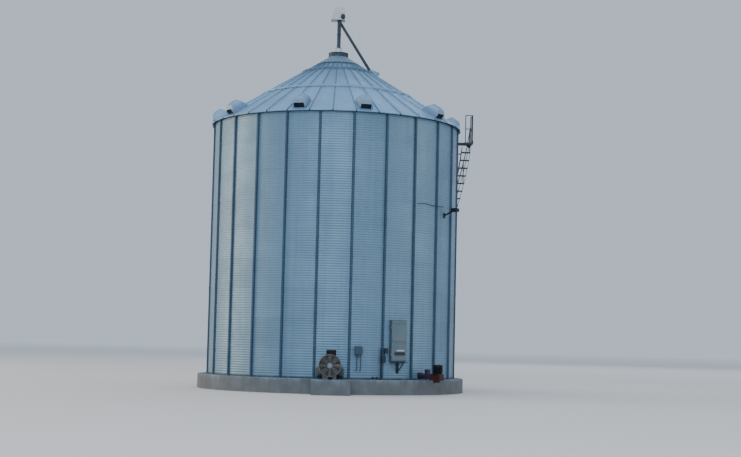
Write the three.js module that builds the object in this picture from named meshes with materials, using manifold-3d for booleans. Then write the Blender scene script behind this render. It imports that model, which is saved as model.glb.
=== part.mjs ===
// Corrugated steel grain silo: a round stiffened bin with a ribbed cone roof, on a concrete base.
// Millimetres, +Z up. The origin is on the silo's axis, at the underside of the foundation.
// An azimuth is in degrees round the axis: 0 is the front (-Y), 90 the right side (+X).

import * as THREE from 'three';
import { mergeVertices } from 'three/addons/utils/BufferGeometryUtils.js';
import Module from 'manifold-3d';

const wasm = await Module();
wasm.setup();

// Driving dimensions of the bin
const binRadius = 5486;
const wallDepth = 16;
const ringCount = 9;
const ringHeight = 1250;
const foundationHeight = 620;
const foundationRadius = 5950;
const roofSlope = 32;
const roofEdgeApothem = 5630;
const roofPanelCount = 36;
const firstRibAzimuth = -2;
const firstStiffenerAzimuth = 7.5;
const stiffenerSpacing = 15;
const facetAngle = 3.75;
const segmentAngle = 60;
const clearance = 0.3;

// Gap between round pieces whose facets don't line up, and how far a cutting tool passes what it cuts
const roundClearance = 0.5;
const overcut = 50;

// Worked out from them
const wallOuter = binRadius + wallDepth / 2;
const wallInner = binRadius - wallDepth / 2;
const wallHeight = ringCount * ringHeight;
const wallTop = foundationHeight + wallHeight;
const segmentCount = 360 / segmentAngle;
const panelAngle = 360 / roofPanelCount;
const slopeTangent = Math.tan(THREE.MathUtils.degToRad(roofSlope));

// Colours
const concrete = { color: 0x9a9a94, roughness: 0.9, metalness: 0.0 };
const galvanised = { color: 0x8fa0ad, roughness: 0.45, metalness: 0.8 };
const stiffenerSteel = { color: 0x5f7485, roughness: 0.5, metalness: 0.8 };
const roofSteel = { color: 0x9fb0bd, roughness: 0.4, metalness: 0.8 };
const darkSteel = { color: 0x3a3f44, roughness: 0.6, metalness: 0.5 };
const fanPaint = { color: 0x727a80, roughness: 0.55, metalness: 0.3 };
const greyPaint = { color: 0xb4b8ba, roughness: 0.5, metalness: 0.2 };
const redPaint = { color: 0x7a2f2a, roughness: 0.6, metalness: 0.2 };

const silo = new THREE.Group();

const radians = THREE.MathUtils.degToRad;

function outward(azimuth) {
  const angle = radians(azimuth);
  return new THREE.Vector3(Math.sin(angle), -Math.cos(angle), 0);
}

function sideways(azimuth) {
  const angle = radians(azimuth);
  return new THREE.Vector3(Math.cos(angle), Math.sin(angle), 0);
}

function addPiece(name, geometry, finish, parent = silo) {
  const mesh = new THREE.Mesh(geometry, new THREE.MeshStandardMaterial(finish));
  mesh.name = name;
  parent.add(mesh);
  return mesh;
}

// A group turned so that its own -Y points outwards at this azimuth.
function facing(azimuth) {
  const group = new THREE.Group();
  group.rotation.z = radians(azimuth);
  silo.add(group);
  return group;
}

function positionsOnly(geometry) {
  const copy = geometry.clone();
  copy.deleteAttribute('normal');
  copy.deleteAttribute('uv');
  return mergeVertices(copy, 1e-4);
}

function toSolid(geometry) {
  const merged = positionsOnly(geometry);
  return new wasm.Manifold(new wasm.Mesh({
    numProp: 3,
    vertProperties: new Float32Array(merged.attributes.position.array),
    triVerts: new Uint32Array(merged.index.array),
  }));
}

function toGeometry(solid) {
  const mesh = solid.getMesh();
  const geometry = new THREE.BufferGeometry();
  geometry.setAttribute('position', new THREE.BufferAttribute(mesh.vertProperties, 3));
  geometry.setIndex(new THREE.BufferAttribute(mesh.triVerts, 1));
  geometry.computeVertexNormals();
  return geometry;
}

function joined(...geometries) {
  return toGeometry(geometries.map(toSolid).reduce((whole, next) => whole.add(next)));
}

function cut(geometry, ...tools) {
  return toGeometry(tools.map(toSolid).reduce((whole, tool) => whole.subtract(tool), toSolid(geometry)));
}

function kept(geometry, tool) {
  return toGeometry(toSolid(geometry).intersect(toSolid(tool)));
}

// A box given by its lowest and highest corners.
function block(x0, x1, y0, y1, z0, z1) {
  const box = new THREE.BoxGeometry(x1 - x0, y1 - y0, z1 - z0);
  return box.translate((x0 + x1) / 2, (y0 + y1) / 2, (z0 + z1) / 2);
}

// A front outline in X and Z, carried along Y.
function frontProfile(points, y0, y1) {
  const outline = new THREE.Shape(points.map(([x, z]) => new THREE.Vector2(x, z)));
  const prism = new THREE.ExtrudeGeometry(outline, { depth: y1 - y0, bevelEnabled: false });
  return prism.rotateX(Math.PI / 2).translate(0, y1, 0);
}

// A side outline in Y and Z, carried along X.
function sideProfile(points, x0, x1) {
  const outline = new THREE.Shape(points.map(([y, z]) => new THREE.Vector2(y, z)));
  const prism = new THREE.ExtrudeGeometry(outline, { depth: x1 - x0, bevelEnabled: false });
  return prism.applyMatrix4(new THREE.Matrix4().makeBasis(
    new THREE.Vector3(0, 1, 0), new THREE.Vector3(0, 0, 1), new THREE.Vector3(1, 0, 0))
    .setPosition(x0, 0, 0));
}

// A solid of revolution about Z from points of radius and height.
function turnedProfile(points, sides) {
  const lathe = new THREE.LatheGeometry(points.map(([r, z]) => new THREE.Vector2(r, z)), sides);
  return lathe.rotateX(Math.PI / 2);
}

// A round bar between two points.
function rod(start, end, radius, sides = 16) {
  const along = new THREE.Vector3().subVectors(end, start);
  const bar = new THREE.CylinderGeometry(radius, radius, along.length(), sides);
  bar.applyQuaternion(new THREE.Quaternion().setFromUnitVectors(
    new THREE.Vector3(0, 1, 0), along.clone().normalize()));
  return bar.translate(...start.clone().add(end).multiplyScalar(0.5).toArray());
}

// A closed skin from two grids of points of the same size: points[column][row].
function skin(outer, inner, round = false) {
  const columns = outer.length;
  const rows = outer[0].length;
  const points = [...outer.flat(), ...inner.flat()];
  const out = (i, j) => (i % columns) * rows + j;
  const into = (i, j) => columns * rows + out(i, j);
  const triangles = [];
  const quad = (a, b, c, d) => triangles.push(a, b, c, a, c, d);
  const lastColumn = round ? columns : columns - 1;
  for (let i = 0; i < lastColumn; i += 1) {
    for (let j = 0; j < rows - 1; j += 1) {
      quad(out(i, j), out(i + 1, j), out(i + 1, j + 1), out(i, j + 1));
      quad(into(i, j), into(i, j + 1), into(i + 1, j + 1), into(i + 1, j));
    }
    quad(out(i + 1, 0), out(i, 0), into(i, 0), into(i + 1, 0));
    quad(out(i, rows - 1), out(i + 1, rows - 1), into(i + 1, rows - 1), into(i, rows - 1));
  }
  if (!round) {
    for (let j = 0; j < rows - 1; j += 1) {
      quad(out(0, j), out(0, j + 1), into(0, j + 1), into(0, j));
      quad(out(columns - 1, j + 1), out(columns - 1, j), into(columns - 1, j), into(columns - 1, j + 1));
    }
  }
  const geometry = new THREE.BufferGeometry().setFromPoints(points);
  geometry.setIndex(triangles);
  geometry.computeVertexNormals();
  return geometry;
}

// An upright curved plate between two azimuths, in facets that line up round the bin.
function arcPlate(from, to, innerRadius, outerRadius, bottom, top) {
  const steps = Math.round((to - from) / facetAngle);
  const trim = THREE.MathUtils.radToDeg(clearance / 2 / innerRadius);
  const column = (radius, i) => {
    const azimuth = THREE.MathUtils.clamp(from + i * facetAngle, from + trim, to - trim);
    const foot = outward(azimuth).multiplyScalar(radius);
    return [foot.clone().setZ(bottom), foot.clone().setZ(top)];
  };
  const indices = Array.from({ length: steps + 1 }, (_, i) => i);
  return skin(indices.map((i) => column(outerRadius, i)), indices.map((i) => column(innerRadius, i)));
}

// Foundation: a round slab of concrete that runs down to the lowest ground beside it.
const foundationFacets = 96;

function foundationDisc(radius) {
  const disc = new THREE.CylinderGeometry(radius, radius, foundationHeight, foundationFacets);
  return disc.rotateX(Math.PI / 2).translate(0, 0, foundationHeight / 2);
}

addPiece('foundation', foundationDisc(foundationRadius), concrete);

// Places of the fittings round the base
const doorAzimuth = 30;
const fanAzimuth = -0.6;
const unloadAzimuth = 43.125;

// Doorway, in the frame of its own azimuth
const doorFrameWidth = 800;
const doorFrameBottom = foundationHeight + 760;
const doorFrameTop = foundationHeight + 2495;
const doorFrameInner = 5450;
const doorFrameOuter = 5560;
const doorFrameBar = 60;

// Fan duct where it goes through the wall
const ductWidth = 1100;
const ductBottom = foundationHeight + 80;
const ductTop = foundationHeight + 410;

// Wall: six curved segments of corrugated sheet, each a shell as deep as its corrugation. The two that
// a duct or a door goes through are four pieces each, beside it, over it and under it.
const wallNames = ['duct', 'door', 'wall_right', 'wall_back_right', 'wall_back_left', 'wall_left'];
const wallStart = firstStiffenerAzimuth - segmentAngle;

function wallSegment(index) {
  const from = wallStart + index * segmentAngle;
  return arcPlate(from, from + segmentAngle, wallInner, wallOuter, foundationHeight, wallTop);
}

function turned(geometry, azimuth) {
  return geometry.rotateZ(radians(azimuth));
}

function addWallAround(what, index, azimuth, width, bottom, top) {
  const half = width / 2;
  const ends = wallTop + overcut;
  const region = (x0, x1, z0, z1) => turned(block(x0, x1, -wallOuter - overcut, 0, z0, z1), azimuth);
  const addPart = (place, kind) =>
    addPiece(`wall_${place}_${what}`, kept(wallSegment(index), kind), galvanised);
  addPart('left_of', region(-binRadius, -half - clearance, 0, ends));
  addPart('right_of', region(half + clearance, binRadius, 0, ends));
  addPart('over', region(-half, half, top + clearance, ends));
  addPart('under', region(-half, half, 0, bottom - clearance));
}

wallNames.forEach((name, index) => {
  if (name === 'duct') {
    addWallAround(name, index, fanAzimuth, ductWidth, ductBottom, ductTop);
  } else if (name === 'door') {
    addWallAround(name, index, doorAzimuth, doorFrameWidth, doorFrameBottom, doorFrameTop);
  } else {
    addPiece(name, wallSegment(index), galvanised);
  }
});

// Stiffeners: outside uprights in sets of four, joined by a base angle and an eave angle
const stiffenerFoot = 120;
const stiffenerFace = 76;
const stiffenerDepth = 68;
const stiffenerTop = wallTop - 70;
const angleDepth = 60;
const angleHeight = 62;
const stiffenersPerSet = segmentAngle / stiffenerSpacing;
const stiffenerSetNames = ['stiffeners_front_right', 'stiffeners_right', 'stiffeners_back_right',
  'stiffeners_back_left', 'stiffeners_left', 'stiffeners_front_left'];

function upright(azimuth) {
  const back = -(wallOuter + clearance);
  const front = -(wallOuter + stiffenerDepth);
  const section = new THREE.Shape([
    new THREE.Vector2(-stiffenerFoot / 2, back),
    new THREE.Vector2(-stiffenerFace / 2, front),
    new THREE.Vector2(stiffenerFace / 2, front),
    new THREE.Vector2(stiffenerFoot / 2, back),
  ]);
  const bar = new THREE.ExtrudeGeometry(section, {
    depth: stiffenerTop - foundationHeight,
    bevelEnabled: false,
  });
  return turned(bar.translate(0, 0, foundationHeight), azimuth);
}

stiffenerSetNames.forEach((name, index) => {
  const from = index * segmentAngle;
  const uprights = Array.from({ length: stiffenersPerSet }, (_, i) =>
    upright(from + firstStiffenerAzimuth + i * stiffenerSpacing));
  const angle = (bottom) => arcPlate(from, from + segmentAngle, wallOuter + clearance,
    wallOuter + angleDepth, bottom, bottom + angleHeight);
  addPiece(name, joined(...uprights, angle(foundationHeight), angle(stiffenerTop - angleHeight)),
    stiffenerSteel);
});

// Roof: flat tapering panels between raised ribs, in six sectors, with hooded vents near the eave
const roofSheet = 10;
const ribFoot = 28;
const ribCrown = 15;
const ribHeight = 45;
const collarApothem = 425;
const roofTopApothem = collarApothem + roundClearance;
const roofSectorNames = ['roof_front_right', 'roof_right', 'roof_back_right',
  'roof_back_left', 'roof_left', 'roof_front_left'];
const ventPlaces = [[13, -70], [53, 0], [93, 0], [133, 0], [163, 0], [203, 0], [233, 0], [273, 0],
  [303, 0], [343, 0]];

// Height of the roof sheet's underside where a panel's centre line is this far from the axis.
function roofUnderside(apothem) {
  return wallTop + clearance + (wallOuter - apothem) * slopeTangent;
}

// A point beside a rib: on the panel centred on panelAzimuth, offset sideways from the rib.
function roofPoint(panelAzimuth, ribAzimuth, offset, apothem, lift) {
  const along = outward(ribAzimuth);
  const across = sideways(ribAzimuth);
  const centre = outward(panelAzimuth);
  const reach = (apothem - offset * across.dot(centre)) / along.dot(centre);
  return along.multiplyScalar(reach).addScaledVector(across, offset)
    .setZ(roofUnderside(apothem) + lift);
}

function roofSector(index) {
  const panels = roofPanelCount / segmentCount;
  const from = firstRibAzimuth + index * segmentAngle;
  const sheet = roofSheet / Math.cos(radians(roofSlope));
  const columns = [];
  for (let i = 0; i < panels; i += 1) {
    const rib = from + i * panelAngle;
    const before = rib - panelAngle / 2;
    const after = rib + panelAngle / 2;
    columns.push([before, rib, -ribFoot, sheet], [before, rib, -ribCrown, sheet + ribHeight],
      [before, rib, 0, sheet + ribHeight],
      [after, rib, ribCrown, sheet + ribHeight], [after, rib, ribFoot, sheet]);
  }
  const lastRib = from + segmentAngle;
  columns.push([lastRib - panelAngle / 2, lastRib, -ribFoot - clearance, sheet]);
  const grid = (lifted) => columns.map(([panel, rib, offset, lift]) =>
    [roofEdgeApothem, roofTopApothem].map((apothem) =>
      roofPoint(panel, rib, offset, apothem, lifted ? lift : 0)));
  return skin(grid(true), grid(false));
}

// A frame on the middle of a roof panel: X along the eave, Y up the slope, Z away from the sheet.
function panelFrame(azimuth, apothem) {
  const slope = radians(roofSlope);
  const across = sideways(azimuth);
  const up = outward(azimuth).multiplyScalar(-Math.cos(slope)).setZ(Math.sin(slope));
  const away = new THREE.Vector3().crossVectors(across, up);
  const seat = outward(azimuth).multiplyScalar(apothem)
    .setZ(roofUnderside(apothem) + roofSheet / Math.cos(slope));
  return new THREE.Matrix4().makeBasis(across, up, away).setPosition(seat);
}

// Vent hood: an arched scoop that droops over its mouth down the slope, with its foot let into the sheet
const ventHalf = 290;
const ventSideHeight = 190;
const ventHeight = 480;
const ventLength = 720;
const ventFoot = -5;
const ventFromEdge = 240;
const ventArchSteps = 10;
const ventOverhang = 140;
const ventSide = [[-100, ventFoot], [-ventOverhang, ventSideHeight], [-40, 390], [130, ventHeight],
  [380, ventHeight], [ventLength, ventFoot]];

function ventHood([azimuth, aside]) {
  const arch = Array.from({ length: ventArchSteps + 1 }, (_, i) => {
    const angle = Math.PI * (1 - i / ventArchSteps);
    return [ventHalf * Math.cos(angle), ventSideHeight + (ventHeight - ventSideHeight) * Math.sin(angle)];
  });
  const section = [[-ventHalf, ventFoot], ...arch, [ventHalf, ventFoot]];
  const tunnel = frontProfile(section, -ventOverhang - overcut, ventLength + overcut);
  return kept(tunnel, sideProfile(ventSide, -ventHalf - overcut, ventHalf + overcut))
    .translate(aside, 0, 0).applyMatrix4(panelFrame(azimuth, roofEdgeApothem - ventFromEdge));
}

roofSectorNames.forEach((name, index) => {
  const from = firstRibAzimuth + index * segmentAngle;
  const hoods = ventPlaces
    .filter(([azimuth]) => azimuth > from && azimuth < from + segmentAngle)
    .map(ventHood);
  addPiece(name, joined(roofSector(index), ...hoods), roofSteel);
});

// Peak collar: the ring that the roof panels end on, with a flange under the sheets
const collarTop = foundationHeight + 14660;
const collarWall = 20;
const collarFlange = 520;
const collarFlangeDepth = 10;
const collarLap = 40;

function panelSided(profile) {
  const corner = 1 / Math.cos(radians(panelAngle / 2));
  const lathe = new THREE.LatheGeometry(
    profile.map(([apothem, height]) => new THREE.Vector2(apothem * corner, height)),
    roofPanelCount, radians(firstRibAzimuth));
  return lathe.rotateX(Math.PI / 2);
}

const collarInner = collarApothem - collarWall;
const collarProfile = [
  [collarInner, roofUnderside(collarInner) - collarLap],
  [collarFlange, roofUnderside(collarFlange) - clearance - collarFlangeDepth],
  [collarFlange, roofUnderside(collarFlange) - clearance],
  [collarApothem, roofUnderside(collarApothem) - clearance],
  [collarApothem, collarTop],
  [collarInner, collarTop],
];
addPiece('peak_collar', panelSided([...collarProfile, collarProfile[0]]), galvanised);

// Rings that lie on the ribs all round: a wide flashing under the cap, and lower down a stiffening ring
const flashingApothem = 1000;
const flashingSheet = 15;
const ringHalfWidth = 30;
const ringBar = 50;

function onRibs(apothem) {
  return roofUnderside(apothem) + roofSheet / Math.cos(radians(roofSlope)) + ribHeight + clearance;
}

function ringOnRibs(from, to, depth) {
  return panelSided([[from, onRibs(from)], [to, onRibs(to)], [to, onRibs(to) + depth],
    [from, onRibs(from) + depth], [from, onRibs(from)]]);
}

addPiece('peak_flashing', ringOnRibs(roofTopApothem, flashingApothem, flashingSheet), roofSteel);

function roofRing(apothem) {
  return ringOnRibs(apothem - ringHalfWidth, apothem + ringHalfWidth, ringBar);
}

addPiece('roof_ring_lower', roofRing(3450), roofSteel);

// Peak cap: the lid on the collar, with a rim that hangs down round it
const capRim = 455;
const capRimInner = 430;
const capDrop = 160;
const capTop = collarTop + 30;
addPiece('peak_cap', turnedProfile([[0, collarTop], [capRimInner, collarTop],
  [capRimInner, collarTop - capDrop], [capRim, collarTop - capDrop], [capRim, capTop], [0, capTop]], 48),
darkSteel);

// Peak neck: a cone on the cap that narrows to the drop tube
const flangePlate = 14;
const neckFoot = 270;
const neckHead = 120;
const neckTop = capTop + 240;
addPiece('peak_neck', turnedProfile([[0, capTop], [neckFoot, capTop], [neckFoot, capTop + flangePlate],
  [neckHead, neckTop], [0, neckTop]], 32), galvanised);

// Drop tube from the fill head down to the neck, with a flange at each end
const dropRadius = 85;
const dropFlange = 140;
const dropTopFlange = 118;
const headBottom = foundationHeight + 16220;
addPiece('drop_tube', turnedProfile([[0, neckTop], [dropFlange, neckTop], [dropFlange, neckTop + flangePlate],
  [dropRadius, neckTop + flangePlate], [dropRadius, headBottom - flangePlate],
  [dropTopFlange, headBottom - flangePlate], [dropTopFlange, headBottom], [0, headBottom]], 24), darkSteel);

// Fill head: a sheet hood over the tube, wider at its foot
const headFront = -220;
const headBack = 350;
const headHeight = 590;
const headShoulder = 280;
const headOutline = [[-380, 0], [270, 0], [270, headShoulder], [220, headHeight], [-190, headHeight]];
addPiece('fill_head', frontProfile(headOutline.map(([x, rise]) => [x, headBottom + rise]),
  headFront, headBack), greyPaint);

// Motor on the front of the fill head
const motorRadius = 105;
const motorLength = 170;
const motorRise = 140;
const motorSeat = new THREE.Vector3(165, headFront - clearance, headBottom + motorRise);
const motorFace = motorSeat.clone().setY(motorSeat.y - motorLength);
addPiece('fill_head_motor', rod(motorSeat, motorFace, motorRadius, 24), darkSteel);

// Side spout: a second pipe from the head to an inlet box that spans a panel and rests on its ribs. The
// box's top is flatter than the roof, and the upper stiffening ring stops on both sides of the box.
const spoutRadius = 65;
const spoutAzimuth = 83;
const spoutApothem = 1600;
const spoutSeat = new THREE.Vector3(0, 150, 60);
const inletHalfWidth = 150;
const inletHalfLength = 210;
const inletUpper = 150;
const inletLower = 240;
const inletSeat = ribHeight * Math.cos(radians(roofSlope)) + clearance;
const spoutStart = new THREE.Vector3(0, 240, headBottom);
const inletFrame = panelFrame(spoutAzimuth, spoutApothem);
const spoutEnd = spoutSeat.clone().applyMatrix4(inletFrame);
const trimReach = 1000;
const spoutLine = new THREE.Vector3().subVectors(spoutEnd, spoutStart).normalize();
const spoutSpare = spoutLine.clone().multiplyScalar(trimReach / 2);
const aboveHeadFoot = block(-trimReach, trimReach, -trimReach, trimReach,
  headBottom - clearance, headBottom + trimReach);
const inletTopAt = (y) =>
  (inletLower + inletUpper) / 2 - (y * (inletLower - inletUpper)) / (2 * inletHalfLength);

function inletBox(grow, bottom, halfLength) {
  return sideProfile([[-halfLength, bottom], [halfLength, bottom], [halfLength, inletTopAt(halfLength) + grow],
    [-halfLength, inletTopAt(-halfLength) + grow]], -inletHalfWidth - grow, inletHalfWidth + grow)
    .applyMatrix4(inletFrame);
}

const belowInletTop = inletBox(clearance, -trimReach, trimReach);
const spoutBar = rod(spoutStart.clone().sub(spoutSpare), spoutEnd.clone().add(spoutSpare), spoutRadius, 20);
addPiece('side_spout', cut(spoutBar, aboveHeadFoot, belowInletTop), darkSteel);
addPiece('roof_inlet', inletBox(0, inletSeat, inletHalfLength), darkSteel);
addPiece('roof_ring_upper', cut(roofRing(1620), inletBox(clearance, 0, inletHalfLength + overcut)), roofSteel);

// Door: a frame of bars through the wall, and a leaf hung outside it on pins
const door = facing(doorAzimuth);
const doorHalf = doorFrameWidth / 2;
const hingeX = -doorHalf + 10;
const hingeY = -doorFrameOuter - 28;
const hingePin = 7;
const hingeArm = 14;
const knuckleHeight = 100;
const lugHeight = 30;
const hingeGap = 5;
const weld = 5;
const hingeHeights = [doorFrameBottom + 260, doorFrameTop - 360];
const frameHole = doorHalf - doorFrameBar;
const frameRing = cut(
  block(-doorHalf, doorHalf, -doorFrameOuter, -doorFrameInner, doorFrameBottom, doorFrameTop),
  block(-frameHole, frameHole, -doorFrameOuter - overcut, -doorFrameInner + overcut,
    doorFrameBottom + doorFrameBar, doorFrameTop - doorFrameBar));

function hingePinAt(bottom, radius, reach) {
  return rod(new THREE.Vector3(hingeX, hingeY, bottom - reach),
    new THREE.Vector3(hingeX, hingeY, bottom + knuckleHeight + reach), radius, 12);
}

function hingeLugs(bottom) {
  const lug = (z0) => block(hingeX - hingeArm, hingeX + hingeArm, hingeY - hingeArm,
    -doorFrameOuter + weld, z0, z0 + lugHeight);
  const pin = hingePinAt(bottom, hingePin, hingeGap + lugHeight / 2);
  return [lug(bottom - hingeGap - lugHeight), lug(bottom + knuckleHeight + hingeGap), pin];
}

addPiece('door_frame', joined(frameRing, ...hingeHeights.flatMap(hingeLugs)), galvanised, door);

const leafInset = 20;
const leafLeft = hingeX + 26;
const leafRight = doorHalf - leafInset;
const leafBack = -doorFrameOuter - 6;
const leafFront = leafBack - 39;
const leafBottom = doorFrameBottom + leafInset;
const leafTop = doorFrameTop - leafInset;
const leafRailHeight = 70;
const leafRailDepth = 25;
const leafRailInset = 40;
const leafRailHeights = [60, 830, 1580];
const gripLeft = -140;
const gripRight = 260;
const gripBottom = 410;
const gripTop = 475;
const latchLeft = -200;
const latchRight = 280;
const latchBottom = 260;
const latchTop = 375;
const latchDepth = 50;
const strapLength = 160;
const pinClearance = 0.5;

function knuckle(bottom) {
  const barrel = rod(new THREE.Vector3(hingeX, hingeY, bottom),
    new THREE.Vector3(hingeX, hingeY, bottom + knuckleHeight), hingeArm, 16);
  const strap = block(hingeX + hingePin + 2, leafLeft + strapLength, hingeY - hingeArm, hingeY - 2,
    bottom, bottom + knuckleHeight);
  return joined(barrel, strap);
}

const leafPanel = block(leafLeft, leafRight, leafFront, leafBack, leafBottom, leafTop);
const leafRails = leafRailHeights.map((rise) => block(leafLeft + leafRailInset, leafRight - leafRailInset,
  leafFront - leafRailDepth, leafFront + weld, leafBottom + rise, leafBottom + rise + leafRailHeight));
const grip = block(gripLeft, gripRight, leafFront - leafRailDepth, leafFront + weld,
  leafBottom + gripBottom, leafBottom + gripTop);
const latch = block(latchLeft, latchRight, leafFront - latchDepth, leafFront + weld,
  leafBottom + latchBottom, leafBottom + latchTop);
const pinHoles = hingeHeights.map((bottom) => hingePinAt(bottom, hingePin + pinClearance, hingeGap * 2));
const leaf = joined(leafPanel, ...leafRails, grip, latch, ...hingeHeights.map(knuckle));
addPiece('door_leaf', cut(leaf, ...pinHoles), galvanised, door);

// Door step: a shelf on two struts that meet on the wall below it
const stepHalf = 380;
const stepTop = doorFrameBottom - 12;
const stepPlate = 30;
const stepOuter = 5720;
const stepBack = 5505;
const stepWallPlate = wallOuter + clearance;
const stepWallPlateHalf = 60;
const stepWallPlateBottom = foundationHeight + 270;
const strutRadius = 22;
const strutInset = 30;
const strutSpread = 210;
const strutFoot = new THREE.Vector3(0, -stepBack - 15, stepWallPlateBottom + 60);
const stepBackPlate = block(-stepWallPlateHalf, stepWallPlateHalf, -stepBack - 20, -stepWallPlate,
  stepWallPlateBottom, stepTop - 5);
const stepStruts = [-1, 1].map((side) => rod(new THREE.Vector3(side * strutSpread,
  -stepOuter + strutInset, stepTop - stepPlate / 2), strutFoot, strutRadius, 10));
const stepShelf = block(-stepHalf, stepHalf, -stepOuter, -stepBack, stepTop - stepPlate, stepTop);
addPiece('door_step', joined(stepShelf, stepBackPlate, ...stepStruts), darkSteel, door);

// Fan: a round housing on a concrete pad, with a rotor on its motor, and a duct through the wall
const fan = facing(fanAzimuth);
const fanZ = foundationHeight + 570;
const fanFront = -6560;
const fanBack = -6100;
const fanRadius = 460;
const fanBore = 440;
const fanMotorRadius = 130;
const fanMotorFront = fanFront + 110;
const fanSheet = fanRadius - fanBore;
const legInset = 60;
const legSpans = [[-300, -60], [120, 270]];
const starterLeft = -150;
const starterRight = 235;
const starterTop = foundationHeight + 1190;
const armThickness = 20;
const armLength = 200;
const shaftRadius = 20;
const shaftReach = 52;
const ductEnd = -5470;
const ductSheet = 12;

function alongY(radius, y0, y1, sides) {
  return rod(new THREE.Vector3(0, y0, fanZ), new THREE.Vector3(0, y1, fanZ), radius, sides);
}

const fanLegs = legSpans.map(([x0, x1]) =>
  block(x0, x1, fanFront + legInset, fanBack - legInset, foundationHeight, fanZ - fanRadius / 2));
const starterBox = block(starterLeft, starterRight, fanMotorFront, fanBack - legInset,
  fanZ + fanBore * 0.9, starterTop);
const fanShell = cut(joined(alongY(fanRadius, fanFront, fanBack, 32), ...fanLegs, starterBox),
  alongY(fanBore, fanFront - overcut, fanBack + overcut, 32));
const armStart = fanMotorFront + 50;
const motorArms = [0, 90, 180, 270].map((angle) => block(
  fanMotorRadius - fanSheet / 2, fanBore + fanSheet / 2, armStart, armStart + armLength,
  -armThickness / 2, armThickness / 2).rotateY(radians(angle)).translate(0, 0, fanZ));
addPiece('fan_housing', joined(fanShell, alongY(fanMotorRadius, fanMotorFront, fanBack - legInset, 24),
  alongY(shaftRadius, fanMotorFront - shaftReach, fanMotorFront + armThickness, 16), ...motorArms),
fanPaint, fan);

const hubRadius = 115;
const hubWall = 12;
const hubFace = 7;
const hubLength = 62;
const hubBack = fanMotorFront - 5;
const hubFront = hubBack - hubLength;
const bladeTip = fanBore - 16;
const bladeHalfWidth = 70;
const bladeHalfThickness = 7;
const bladeForward = 8;
const bladeCount = 8;
const bladePitch = 32;
const blades = Array.from({ length: bladeCount }, (_, i) => block(hubRadius - hubWall, bladeTip,
  -bladeHalfThickness, bladeHalfThickness, -bladeHalfWidth, bladeHalfWidth)
  .rotateX(radians(bladePitch)).rotateY((i * 2 * Math.PI) / bladeCount)
  .translate(0, (hubFront + hubBack) / 2 - bladeForward, fanZ));
addPiece('fan_rotor', cut(joined(alongY(hubRadius, hubFront, hubBack, 24), ...blades),
  alongY(shaftRadius + pinClearance, hubFront + hubFace, hubBack + overcut, 16)), darkSteel, fan);

const guardBar = 8;
const guardRimDepth = 14;
const guardFront = fanFront - guardRimDepth;
const guardRimBore = fanBore + 4;
const guardRingRadii = [170, 305];
const guardBars = [0, 45, 90, 135].map((angle) => block(-guardRimBore - 2, guardRimBore + 2,
  guardFront, guardFront + guardBar, -guardBar / 2, guardBar / 2)
  .rotateY(radians(angle)).translate(0, 0, fanZ));
const guardRings = guardRingRadii.map((radius) => cut(
  alongY(radius + guardBar / 2, guardFront, guardFront + guardBar, 24),
  alongY(radius - guardBar / 2, guardFront - overcut, guardFront + overcut, 24)));
const guardRim = cut(alongY(fanRadius, guardFront, fanFront - clearance, 32),
  alongY(guardRimBore, guardFront - overcut, fanFront + overcut, 32));
addPiece('fan_guard', joined(guardRim, ...guardBars, ...guardRings), galvanised, fan);

const ductColumns = 24;
const ductStraight = 70;

function ductRing(inset, y, part) {
  const height = (ductTop - ductBottom) / 2 - inset;
  const width = ductWidth / 2 - inset;
  return Array.from({ length: ductColumns }, (_, i) => {
    const angle = (i * 2 * Math.PI) / ductColumns;
    if (part === 'round') {
      const radius = fanRadius - inset;
      return new THREE.Vector3(radius * Math.cos(angle), y, fanZ + radius * Math.sin(angle));
    }
    const square = (value, half) => THREE.MathUtils.clamp(value * Math.SQRT2 * half, -half, half);
    return new THREE.Vector3(square(Math.cos(angle), width), y,
      (ductTop + ductBottom) / 2 + square(Math.sin(angle), height));
  });
}

function ductGrid(inset) {
  const end = ductRing(inset, ductEnd, 'square');
  const atWall = ductRing(inset, -wallOuter - ductStraight, 'square');
  const start = ductRing(inset, fanBack + clearance, 'round');
  return end.map((point, i) => [point, atWall[i], start[i]]);
}

addPiece('fan_duct', skin(ductGrid(0), ductGrid(ductSheet), true), galvanised, fan);

const besideFoundation = foundationRadius + roundClearance;
const insideFoundation = -foundationRadius + 300;
const padLeft = -750;
const padRight = 850;
const padFront = -6900;
const padBlock = block(padLeft, padRight, padFront, insideFoundation, 0, foundationHeight);
addPiece('fan_pad', cut(turned(padBlock, fanAzimuth), foundationDisc(besideFoundation)), concrete);

// Control box held off the wall by two brackets, with a cable gland and two conduits that turn into the wall
const controls = facing(11.25);
const controlHalf = 150;
const controlBottom = foundationHeight + 1045;
const controlTop = foundationHeight + 1365;
const controlFront = -5700;
const controlBack = -5560;
const controlBracketHalf = 60;
const controlBrackets = [1110, 1280];
const controlBracketHeight = 30;
const gland = [[-130, 0], [-85, -110], [5, -110], [60, 0]];
const glandInset = 30;
const conduitRadius = 20;
const conduitY = -5620;
const conduitZ = foundationHeight + 390;
const conduits = [-60, 105].flatMap((x) => [
  rod(new THREE.Vector3(x, conduitY, controlBottom + weld),
    new THREE.Vector3(x, conduitY, conduitZ - conduitRadius), conduitRadius, 12),
  rod(new THREE.Vector3(x, conduitY, conduitZ), new THREE.Vector3(x, -wallOuter - clearance, conduitZ),
    conduitRadius, 12)]);
addPiece('control_box', joined(
  block(-controlHalf, controlHalf, controlFront, controlBack, controlBottom, controlTop),
  frontProfile(gland.map(([x, z]) => [x, controlBottom + weld + z]),
    controlFront + glandInset, controlBack - glandInset),
  ...controlBrackets.map((rise) => block(-controlBracketHalf, controlBracketHalf, controlBack - weld,
    -wallOuter - clearance, foundationHeight + rise, foundationHeight + rise + controlBracketHeight)),
  ...conduits), greyPaint, controls);

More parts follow.
